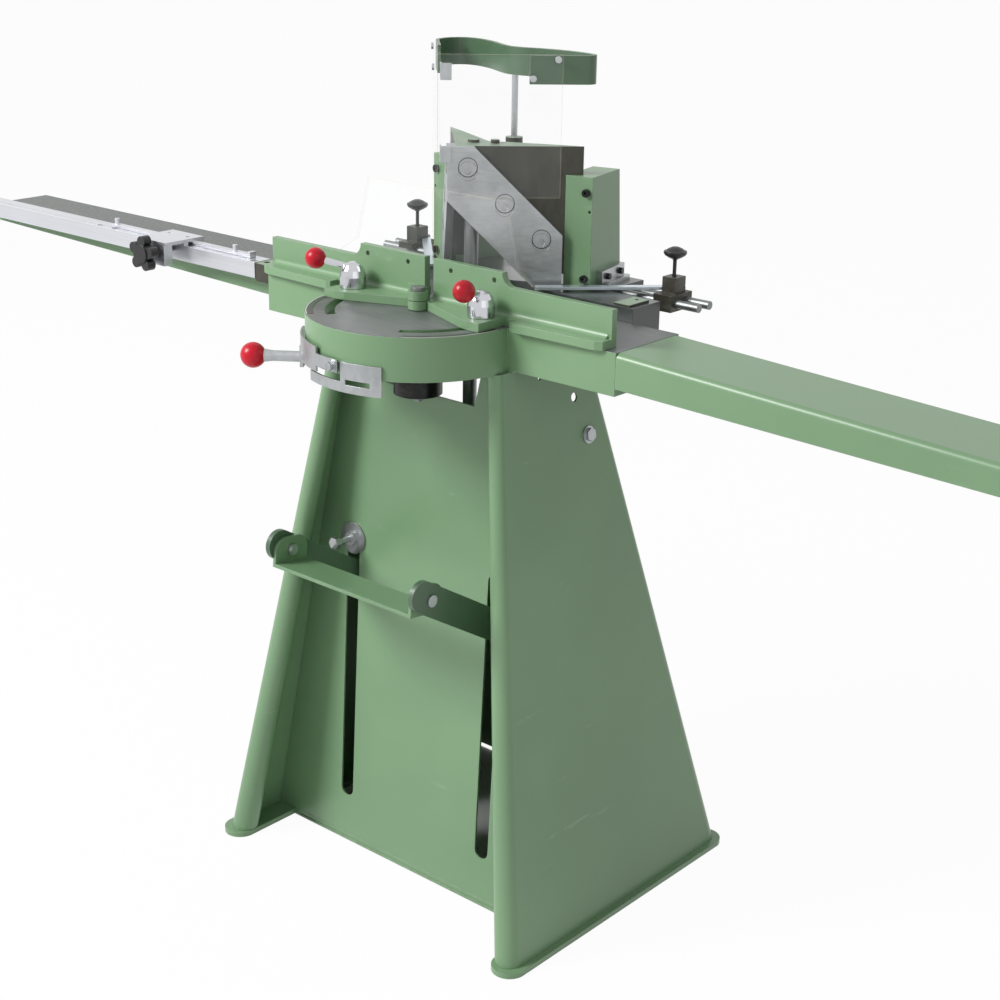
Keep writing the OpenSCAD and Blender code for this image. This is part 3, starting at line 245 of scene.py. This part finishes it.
def greenColour(f, deep="greenDeep", fresh="green"):
    # slow shifts of tone, fine speckle, thin scuffs and a lighter edge that is partly rubbed paint and
    # partly painted highlight
    drift = f.noise(2.5, 3.0).smooth(0.3, 0.7)
    speckle = f.noise(330.0, 3.0, 0.7).smooth(0.55, 0.75) * 0.30
    colour = f.blend(drift, tones[deep], tones[fresh])
    colour = f.blend(speckle, colour, tones[deep])
    scuff = f.noise(9.0, 8.0, 0.7, stretch=(1.0, 1.0, 6.0)).smooth(0.62, 0.75) * 0.35
    colour = f.blend(scuff, colour, tones["greenRubbedAndLit"])
    edgeWearAndHighlight = f.edge(0.0022, 0.03, 0.30)
    broken = f.noise(60.0, 4.0).smooth(0.35, 0.62)
    colour = f.blend(edgeWearAndHighlight * 0.55, colour, tones["greenRubbedAndLit"])
    return f.blend((edgeWearAndHighlight * broken).smooth(0.55, 0.9) * 0.5, colour, tones["primer"]), scuff, edgeWearAndHighlight


def greenEnamel(name="greenEnamel", deep="greenDeep", fresh="green"):
    f = Finish(name)
    colour, scuff, edgeWearAndHighlight = greenColour(f, deep, fresh)
    gloss = 0.34 + f.noise(5.0, 4.0) * 0.14 + scuff * 0.3
    peel = f.noise(420.0, 2.0) * 0.5 + f.noise(35.0, 3.0) * 0.5
    return f.surface(Base_Color=colour, Roughness=gloss, Metallic=0.0, Coat_Weight=0.25,
                     Coat_Roughness=0.25,
                     Normal=f.bump(peel, 0.12, 0.0006, rounding=0.0012))


# the left arm: green below a dark speckled top
def armFinish():
    f = Finish("armCasting")
    paint, scuff, edgeWearAndHighlight = greenColour(f)
    up = f.facingUp()
    speckle = f.noise(240.0, 4.0, 0.75).smooth(0.40, 0.70)
    top = f.blend(speckle, (0.060, 0.070, 0.064, 1), (0.150, 0.165, 0.150, 1))
    return f.surface(Base_Color=f.blend(up, paint, top), Roughness=0.40 + scuff * 0.3, Metallic=0.0,
                     Normal=f.bump(speckle * up + f.noise(300.0, 2.0) * 0.4, 0.15, 0.0005,
                                   rounding=0.0012))


# the table: green enamel with a ground steel top
def tableFinish(topHeight):
    f = Finish("tableCasting")
    paint, scuff, edgeWearAndHighlight = greenColour(f)
    up = f.facingUp()
    top = up * f.axis("Z").smooth(topHeight - 0.004, topHeight - 0.002)
    grain = f.noise(26.0, 8.0, 0.65, stretch=(0.35, 9.0, 1.0))
    stain = f.noise(7.0, 5.0, 0.6).smooth(0.45, 0.72)
    metal = f.blend(grain, tones["steelDark"], tones["steel"])
    metal = f.blend(stain * 0.45, metal, tones["oilGrey"])
    gloss = (0.42 + grain * 0.18 - stain * 0.12) * top + (0.36 + scuff * 0.3) * (1.0 - top)
    height = grain * top * 0.6 + f.noise(300.0, 2.0) * (1.0 - top) * 0.4
    return f.surface(Base_Color=f.blend(top, paint, metal), Roughness=gloss, Metallic=top * 0.9,
                     Normal=f.bump(height, 0.15, 0.0006, rounding=0.0012))


# the carriage: nearly black enamel under workshop dust, with edges lightened partly as wear and partly as
# painted highlight
def coalEnamel():
    f = Finish("coalEnamel")
    dust = f.noise(12.0, 6.0, 0.65).smooth(0.45, 0.75)
    edgeWearAndHighlight = f.edge(0.0018, 0.05, 0.35)
    colour = f.blend(dust * 0.6 + edgeWearAndHighlight * 0.3, tones["coal"], tones["coalDust"])
    return f.surface(Base_Color=colour, Roughness=0.28 + dust * 0.25, Metallic=0.0, Coat_Weight=0.3,
                     Coat_Roughness=0.2,
                     Normal=f.bump(f.noise(260.0, 3.0), 0.12, 0.0005, rounding=0.001))


def oiledSteel():
    f = Finish("oiledSteel")
    up = f.facingUp()
    film = f.noise(14.0, 7.0, 0.7, stretch=(1.0, 1.0, 0.45)).smooth(0.35, 0.7)
    rust = f.noise(48.0, 6.0, 0.7).smooth(0.56, 0.72)
    colour = f.blend(film, tones["oil"], tones["oilGrey"])
    colour = f.blend(rust * 0.6, colour, tones["oilBrown"])
    edgeWearAndHighlight = f.edge(0.0015, 0.05, 0.35)
    # upward faces blended to pale green: painted light on the tops
    colour = f.blend(up * 0.75, colour, tones["greenRubbedAndLit"])
    # edges lightened: partly wear, partly painted highlight
    colour = f.blend(edgeWearAndHighlight * 0.5, colour, tones["steelDark"])
    return f.surface(Base_Color=colour, Roughness=0.36 + film * 0.22, Metallic=0.25,
                     Normal=f.bump(f.noise(180.0, 5.0, 0.7), 0.25, 0.0006, rounding=0.0008))


# the rear supports: a bright flat bar held in dark oily blocks
def supportFinish(bar):
    f = Finish("supportSteel")
    high, out = f.axis("Z"), f.axis("X").math("ABSOLUTE")
    low, top, end = bar
    bright = high.smooth(low - 0.0004, low) * (1.0 - high.smooth(top, top + 0.0004))
    bright = bright * (1.0 - out.smooth(end - 0.0002, end))
    grain = f.noise(70.0, 5.0, 0.6, stretch=(1.0, 1.0, 3.0))
    film = f.noise(30.0, 6.0, 0.7).smooth(0.4, 0.7)
    dark = f.blend(film, tones["oil"], tones["oilGrey"])
    pale = f.blend(grain, (0.52, 0.60, 0.66, 1), (0.68, 0.74, 0.78, 1))
    return f.surface(Base_Color=f.blend(bright, dark, pale),
                     Roughness=0.36 - bright * 0.08 + grain * 0.12,
                     Metallic=0.35 + bright * 0.5, Normal=f.bump(grain, 0.10, 0.0004, rounding=0.0008))


def groundSteel(name, stretch, dark="steel", light="steelBright", rough=0.26):
    f = Finish(name)
    grain = f.noise(60.0, 6.0, 0.6, stretch=stretch)
    smear = f.noise(9.0, 5.0, 0.6).smooth(0.42, 0.75)
    colour = f.blend(grain, tones[dark], tones[light])
    colour = f.blend(smear * 0.35, colour, tones["steelDark"])
    # edges brightened: partly wear, partly painted highlight
    edgeWearAndHighlight = f.edge(0.001, 0.05, 0.4)
    colour = f.blend(edgeWearAndHighlight * 0.5, colour, tones["steelBright"])
    return f.surface(Base_Color=colour, Roughness=rough + grain * 0.16 + smear * 0.08, Metallic=0.95,
                     Normal=f.bump(grain, 0.10, 0.0004, rounding=0.0006))


def chrome():
    f = Finish("chrome")
    haze = f.noise(30.0, 5.0, 0.6).smooth(0.5, 0.8)
    colour = f.blend(haze, (0.58, 0.59, 0.62, 1), (0.40, 0.41, 0.43, 1))
    return f.surface(Base_Color=colour, Roughness=0.10 + haze * 0.12, Metallic=1.0,
                     Normal=f.bump(haze, 0.03, 0.0003, rounding=0.0015))


def aluminium():
    f = Finish("drawnAluminium")
    lines = f.noise(40.0, 6.0, 0.6, stretch=(0.05, 12.0, 12.0))
    tarnish = f.noise(4.0, 4.0).smooth(0.4, 0.75)
    colour = f.blend(lines, (0.60, 0.61, 0.64, 1), (0.76, 0.77, 0.81, 1))
    colour = f.blend(tarnish * 0.3, colour, (0.42, 0.43, 0.45, 1))
    return f.surface(Base_Color=colour, Roughness=0.30 + lines * 0.14, Metallic=0.95,
                     Normal=f.bump(lines, 0.10, 0.0004, rounding=0.0008))


def blackPlastic():
    f = Finish("blackPlastic")
    scuff = f.noise(70.0, 6.0, 0.7).smooth(0.55, 0.8)
    colour = f.blend(scuff * 0.6 + f.edge(0.0015, 0.05, 0.4) * 0.4, tones["black"], tones["blackWorn"])
    return f.surface(Base_Color=colour, Roughness=0.36 + scuff * 0.25, Metallic=0.0,
                     Normal=f.bump(f.noise(500.0, 2.0), 0.10, 0.0003, rounding=0.0015))


def blackSteel():
    f = Finish("blackSteel")
    rub = f.noise(36.0, 6.0, 0.7, stretch=(0.3, 1.0, 1.0)).smooth(0.5, 0.8)
    colour = f.blend(rub * 0.7 + f.edge(0.001, 0.05, 0.4) * 0.3, tones["black"], tones["oilGrey"])
    return f.surface(Base_Color=colour, Roughness=0.30 + rub * 0.22, Metallic=0.6,
                     Normal=f.bump(f.noise(320.0, 3.0), 0.10, 0.0003, rounding=0.0008))


def redBall():
    f = Finish("redBall")
    swirl = f.noise(26.0, 4.0).smooth(0.35, 0.7)
    nick = f.noise(160.0, 5.0, 0.8).smooth(0.68, 0.78)
    colour = f.blend(swirl, tones["redDeep"], tones["red"])
    return f.surface(Base_Color=colour, Roughness=0.32 + nick * 0.3, Metallic=0.0, Coat_Weight=0.10,
                     Coat_Roughness=0.08,
                     Specular_IOR_Level=0.3,
                     Normal=f.bump(nick * -1, 0.12, 0.0003))


def clearSheet():
    f = Finish("clearSheet")
    smear = f.noise(10.0, 6.0, 0.7).smooth(0.5, 0.85)
    rim = f.edge(0.0012, 0.03, 0.25)
    alpha = 0.025 + smear * 0.02 + rim * 0.45
    colour = f.blend(rim, (0.90, 0.96, 0.95, 1), tones["amber"])
    return f.surface(Base_Color=colour, Roughness=0.04 + smear * 0.10, Metallic=0.0, Alpha=alpha,
                     IOR=1.49,
                     Normal=f.bump(smear, 0.02, 0.0003))


# the curved scales: white enamel inside a black border, a mark at each degree
# and a longer one at every fifth
def dialEnamel(marks):
    f = Finish("dialEnamel")
    across, along = f.axis("X"), f.axis("Y")
    radius = (across * across + along * along) ** 0.5
    angle = across.math("ABSOLUTE").math("ARCTAN2", along * -1) * (180 / math.pi)
    share = angle.math("FRACT")
    fifth = (angle / 5.0).math("FRACT")
    depth = (radius - marks["innerRadius"]) / (marks["outerRadius"] - marks["innerRadius"])
    fine = near(share, 0.10) * depth.smooth(0.60, 0.64)
    long = near(fifth, 0.025) * depth.smooth(0.36, 0.40)
    border = (1.0 - depth.smooth(0.08, 0.12)) + depth.smooth(0.92, 0.96)
    grime = f.noise(60.0, 5.0, 0.6).smooth(0.5, 0.8)
    colour = f.blend(grime * 0.3, tones["cream"], tones["steel"])
    colour = f.blend((fine + long + border).clamped(), colour, tones["ink"])
    return f.surface(Base_Color=colour, Roughness=0.30 + grime * 0.2, Metallic=0.0, Coat_Weight=0.2,
                     Coat_Roughness=0.15,
                     Normal=f.bump(grime, 0.05, 0.0003))


# 1 where a repeating value is close to a whole number
def near(value, width):
    return (value.math("SUBTRACT", 0.5).math("ABSOLUTE")).smooth(0.5 - width, 0.5 - width * 0.6)


# Which finish each CAD node wears
def wear(material, *names):
    for name in names:
        mesh = nodes[name].data
        mesh.materials.clear()
        mesh.materials.append(material)


finishes = {
    "green": greenEnamel(),
    "table": tableFinish(0.870),
    "arm": armFinish(),
    "support": supportFinish((0.893, 0.897, 0.2279)),
    # a darker copy of the green enamel: painted shade on the guard bow; the pedal arms wear it too
    "inShade": greenEnamel("greenEnamelInShade", "greenDeepInShade", "greenInShade"),
    "coal": coalEnamel(),
    "dial": dialEnamel({"innerRadius": 0.150, "outerRadius": 0.166}),
    "oiled": oiledSteel(),
    "machined": groundSteel("machinedSteel", (0.6, 1.6, 1.6), "steelDark", "steel", 0.34),
    "bright": groundSteel("brightSteel", (1.4, 1.4, 0.7)),
    "blade": groundSteel("bladeSteel", (1.0, 1.0, 4.0), "steel", "steelBright", 0.30),
    "chrome": chrome(),
    "aluminium": aluminium(),
    "plastic": blackPlastic(),
    "blackSteel": blackSteel(),
    "red": redBall(),
    "clear": clearSheet(),
}

wear(finishes["green"], "stand_left", "stand_right", "stand_panel", "foot_left", "foot_right",
     "arm_right", "fence_left", "fence_right", "column_left", "column_right", "pedal_tread")
# the darker green is painted shade on the guard bow; the pedal arms share it
wear(finishes["inShade"], "pedal_arm_left", "pedal_arm_right", "guard_bow")
wear(finishes["table"], "table", "bed")
wear(finishes["arm"], "arm_left")
wear(finishes["coal"], "carriage")
wear(finishes["oiled"], "knife_block", "pedal_shaft", "finger_plate", "rail_bracket")
wear(finishes["support"], "support_left", "support_right")
wear(finishes["machined"], "pedal_bar", "fence_pin", "pull_rod", "support_rods_left",
     "support_rods_right")
wear(finishes["bright"], "quadrant", "guard_rod", "knife_screws", "guard_clips", "stand_bolts",
     "tread_bolts", "clamp_stud_left", "clamp_stud_right", "feed_lever", "feed_band", "slot_stop",
     "column_feet")
wear(finishes["blade"], "knife_left", "knife_right")
wear(finishes["chrome"], "clamp_left", "clamp_right")
wear(finishes["aluminium"], "arm_rail", "stop_slider")
wear(finishes["plastic"], "stop_knob", "support_knob_left", "support_knob_right")
wear(finishes["blackSteel"], "column_screws", "feed_hub")
wear(finishes["red"], "clamp_ball_left", "clamp_ball_right", "feed_ball")
wear(finishes["clear"], "guard_glass_left", "guard_glass_right", "fence_shield_left",
     "fence_shield_right")
wear(finishes["dial"], "scales")
print("finishes made")


# Small makers; sizes in millimetres, so a piece's mesh is scaled once
def piece(name, mesh, material, body):
    made = bpy.data.objects.new(name, mesh)
    scene.collection.objects.link(made)
    mesh.materials.clear()
    mesh.materials.append(material)
    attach(made, body)
    return made


# a solid turned from (radius, height) pairs that start and end on its axis
def turned(name, profile, spot, steps=40):
    work = bmesh.new()
    rings = []
    for radius, height in profile:
        count = 1 if radius == 0 else steps
        turns = [2 * math.pi * i / steps for i in range(count)]
        rings.append([work.verts.new((radius * math.cos(turn), radius * math.sin(turn), height))
                      for turn in turns])
    for low, high in zip(rings, rings[1:]):
        for i in range(steps):
            corners = [low[i % len(low)], low[(i + 1) % len(low)],
                       high[(i + 1) % len(high)], high[i % len(high)]]
            work.faces.new(list(dict.fromkeys(corners)))
    return settled(name, work, Matrix.Translation(spot))


def settled(name, work, place):
    bmesh.ops.recalc_face_normals(work, faces=work.faces)
    work.transform(Matrix.Scale(mm, 4) @ place)
    mesh = bpy.data.meshes.new(name)
    work.to_mesh(mesh)
    work.free()
    return mesh


def smoothed(made, angle=40):
    for face in made.data.polygons:
        face.use_smooth = True
    made.data.set_sharp_from_angle(angle=math.radians(angle))
    return made


repeats = {
    "ringSteps": 40, "wireSteps": 8, "beadDetail": 2, "seed": 7,
    "least": (0.7, 0.6, 0.8),   # the beads' smallest and largest stretch
    "most": (1.2, 1.1, 1.5),
}


# Geometry Nodes: rings or beads on a row of spots, made real and turned into a plain mesh
def repeated(name, spots, shape, sizes, material, body):
    tree = bpy.data.node_groups.new(name + "Tree", "GeometryNodeTree")
    tree.interface.new_socket("Geometry", in_out="INPUT", socket_type="NodeSocketGeometry")
    tree.interface.new_socket("Geometry", in_out="OUTPUT", socket_type="NodeSocketGeometry")
    names = {}
    for label, value in sizes.items():
        kind = "NodeSocketVector" if isinstance(value, tuple) else "NodeSocketFloat"
        names[label] = tree.interface.new_socket(label, in_out="INPUT", socket_type=kind).identifier
    start = tree.nodes.new("NodeGroupInput")
    end = tree.nodes.new("NodeGroupOutput")
    place = tree.nodes.new("GeometryNodeInstanceOnPoints")
    real = tree.nodes.new("GeometryNodeRealizeInstances")
    paint = tree.nodes.new("GeometryNodeSetMaterial")
    paint.inputs["Material"].default_value = material
    link = tree.links.new
    link(start.outputs["Geometry"], place.inputs["Points"])
    if shape == "ring":
        ring = tree.nodes.new("GeometryNodeCurvePrimitiveCircle")
        wire = tree.nodes.new("GeometryNodeCurvePrimitiveCircle")
        ring.inputs["Resolution"].default_value = repeats["ringSteps"]
        wire.inputs["Resolution"].default_value = repeats["wireSteps"]
        sweep = tree.nodes.new("GeometryNodeCurveToMesh")
        link(start.outputs["Radius"], ring.inputs["Radius"])
        link(start.outputs["Wire"], wire.inputs["Radius"])
        link(ring.outputs["Curve"], sweep.inputs["Curve"])
        link(wire.outputs["Curve"], sweep.inputs["Profile Curve"])
        link(sweep.outputs["Mesh"], place.inputs["Instance"])
    else:
        bead = tree.nodes.new("GeometryNodeMeshIcoSphere")
        bead.inputs["Subdivisions"].default_value = repeats["beadDetail"]
        link(start.outputs["Radius"], bead.inputs["Radius"])
        link(bead.outputs["Mesh"], place.inputs["Instance"])
        vary = tree.nodes.new("FunctionNodeRandomValue")
        vary.data_type = "FLOAT_VECTOR"
        vary.inputs[0].default_value = repeats["least"]
        vary.inputs[1].default_value = repeats["most"]
        vary.inputs["Seed"].default_value = repeats["seed"]
        link(vary.outputs[0], place.inputs["Scale"])
    link(start.outputs["Turn"], place.inputs["Rotation"])
    link(place.outputs["Instances"], real.inputs["Geometry"])
    link(real.outputs["Geometry"], paint.inputs["Geometry"])
    link(paint.outputs["Geometry"], end.inputs["Geometry"])
    points = bpy.data.meshes.new(name + "Spots")
    points.from_pydata([tuple(value * mm for value in spot) for spot in spots], [], [])
    holder = bpy.data.objects.new(name + "Holder", points)
    scene.collection.objects.link(holder)
    modifier = holder.modifiers.new("rows", "NODES")
    modifier.node_group = tree
    for label, value in sizes.items():
        modifier[names[label]] = value
    mesh = bpy.data.meshes.new_from_object(holder.evaluated_get(bpy.context.evaluated_depsgraph_get()))
    holder.modifiers.clear()
    bpy.data.objects.remove(holder)
    mesh.name = name
    for face in mesh.polygons:
        face.use_smooth = True
    return piece(name, mesh, material, body)


# Dark seats round the knives' flush screws
knifeScrews = {
    "apex": 57, "first": 28, "step": 51, "top": 32, "drop": 49,
    "ringRadius": 12.9, "wire": 0.6, "sunk": 0.25,
}


def knifeSeats(settings):
    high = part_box("knife_block")[1][2] / mm
    for side, label in ((1, "Right"), (-1, "Left")):
        spots = []
        for i in range(3):
            along = (settings["first"] + settings["step"] * i) / math.sqrt(2)
            spots.append((side * (along - settings["sunk"]), settings["apex"] + along + settings["sunk"],
                          high - settings["top"] - settings["drop"] * i))
        sizes = {"Radius": settings["ringRadius"] * mm, "Wire": settings["wire"] * mm,
                 "Turn": (math.radians(90), 0.0, math.radians(45 * side))}
        repeated("screwSeats" + label, spots, "ring", sizes, finishes["blackSteel"], "head")


knifeSeats(knifeScrews)
print("knife seats made")

# Weld beads down the stand's inner corners
welds = {
    "low": 40, "high": 770, "stitch": 62, "gap": 74, "pitch": 3.4, "radius": 2.6, "inset": 4.6,
    "halfAtFloor": 296,          # the stand's half width, and how it narrows as it rises
    "narrowing": (296 - 159) / 810,
    "sheetSetBack": 2,           # the front sheet's place and lean
    "sheetLean": 0.128,
}


def weldBeads(settings):
    spots = []
    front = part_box("stand_panel")[0][1] / mm + settings["sheetSetBack"]
    for side in (-1, 1):
        z = settings["low"]
        while z < settings["high"]:
            for i in range(int(settings["stitch"] / settings["pitch"])):
                high = z + i * settings["pitch"]
                if high < settings["high"]:
                    half = settings["halfAtFloor"] - settings["narrowing"] * high
                    lean = settings["sheetLean"] * high
                    spots.append((side * (half - settings["inset"]), front + lean, high))
            z += settings["stitch"] + settings["gap"]
    repeated("weldBeads", spots, "bead", {"Radius": settings["radius"] * mm, "Turn": (0.0, 0.0, 0.0)},
             finishes["green"], "frame")


weldBeads(welds)
print("weld beads made")

# Rear supports: thumb screws with thin rims on slim stems
thumbScrew = {
    "place": (243, 254),
    "profile": [(0, 912), (2.6, 912), (2.6, 936), (4.5, 938), (9, 940), (14.5, 943.5),
                (16.2, 946.5), (15.8, 949), (12, 950.6), (10.5, 952), (5, 954.5), (0, 955)],
}


def thumbScrews(settings):
    for side, node in ((1, "support_knob_right"), (-1, "support_knob_left")):
        x, y = settings["place"]
        hand = "Right" if side > 0 else "Left"
        mesh = turned("thumbScrew" + hand, settings["profile"], (side * x, y, 0))
        body = hand.lower() + "_support_screw"
        made = piece(mesh.name, mesh, finishes["plastic"], body)
        smoothed(made)
        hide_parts(node)


thumbScrews(thumbScrew)
print("thumb screws made")


# Studio: a very large pale floor, white to the camera, and soft light
studio = {
    "floorSize": 400.0,
    "floorTone": (0.90, 0.90, 0.90, 1),
    "floorWhite": 0.96,       # share of plain white that the camera and reflections see
    "shaded": (0.285, 0.358),   # half width and back of the stand's own floor, seen as it is lit
    "worldLevel": 0.36,
    "keyPlace": (-2.2, -3.2, 3.6),
    "keySize": 1.9,
    "keyPower": 240.0,
    "fillPlace": (3.4, -1.6, 2.2),
    "fillSize": 3.0,
    "fillPower": 9.0,
}


def seenRay(tree):
    path = tree.nodes.new("ShaderNodeLightPath")
    names = ("Is Camera Ray", "Is Glossy Ray", "Is Transmission Ray")
    rays = [Wire(tree, path.outputs[name]) for name in names]
    return (rays[0] + rays[1] + rays[2]).clamped()


def makeWorld(settings):
    world = bpy.data.worlds.new("studioWorld")
    world.use_nodes = True
    tree = world.node_tree
    tree.nodes.clear()
    back = tree.nodes.new("ShaderNodeBackground")
    level = settings["worldLevel"]
    plug(tree, seenRay(tree) * (1.0 - level) + level, back.inputs["Strength"])
    back.inputs["Color"].default_value = (1, 1, 1, 1)
    out = tree.nodes.new("ShaderNodeOutputWorld")
    tree.links.new(back.outputs["Background"], out.inputs["Surface"])
    scene.world = world


def makeFloor(settings):
    half = settings["floorSize"] / 2
    mesh = bpy.data.meshes.new("studioFloor")
    corners = [(-half, -half, 0), (half, -half, 0), (half, half, 0), (-half, half, 0)]
    mesh.from_pydata(corners, [], [(0, 1, 2, 3)])
    floor = bpy.data.objects.new("studioFloor", mesh)
    scene.collection.objects.link(floor)
    material = bpy.data.materials.new("paleFloor")
    material.use_nodes = True
    tree = material.node_tree
    tree.nodes.clear()
    diffuse = tree.nodes.new("ShaderNodeBsdfDiffuse")
    diffuse.inputs["Color"].default_value = settings["floorTone"]
    white = tree.nodes.new("ShaderNodeEmission")
    mix = tree.nodes.new("ShaderNodeMixShader")
    spot = tree.nodes.new("ShaderNodeSeparateXYZ")
    tree.links.new(tree.nodes.new("ShaderNodeTexCoord").outputs["Object"], spot.inputs[0])
    across, along = Wire(tree, spot.outputs["X"]), Wire(tree, spot.outputs["Y"])
    half, back = settings["shaded"]
    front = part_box("stand_panel")[0][1] + 0.004
    inside = (half - across.math("ABSOLUTE")).smooth(0.0, 0.004) * (along - front).smooth(0.0, 0.004)
    inside = inside * (back - along).smooth(0.0, 0.004)
    plug(tree, seenRay(tree) * settings["floorWhite"] * (1.0 - inside), mix.inputs[0])
    tree.links.new(diffuse.outputs[0], mix.inputs[1])
    tree.links.new(white.outputs[0], mix.inputs[2])
    out = tree.nodes.new("ShaderNodeOutputMaterial")
    tree.links.new(mix.outputs[0], out.inputs["Surface"])
    mesh.materials.append(material)


def makeLamp(name, place, size, power, target=(0, 0, 0.6)):
    data = bpy.data.lights.new(name, "AREA")
    data.shape = "DISK"
    data.size = size
    data.energy = power
    lamp = bpy.data.objects.new(name, data)
    scene.collection.objects.link(lamp)
    aim = (Vector(target) - Vector(place)).to_track_quat("-Z", "Y")
    lamp.matrix_world = Matrix.Translation(place) @ aim.to_matrix().to_4x4()


makeWorld(studio)
makeFloor(studio)
makeLamp("keyLamp", studio["keyPlace"], studio["keySize"], studio["keyPower"])
makeLamp("fillLamp", studio["fillPlace"], studio["fillSize"], studio["fillPower"])
scene.view_settings.view_transform = "Standard"
print("studio ready")
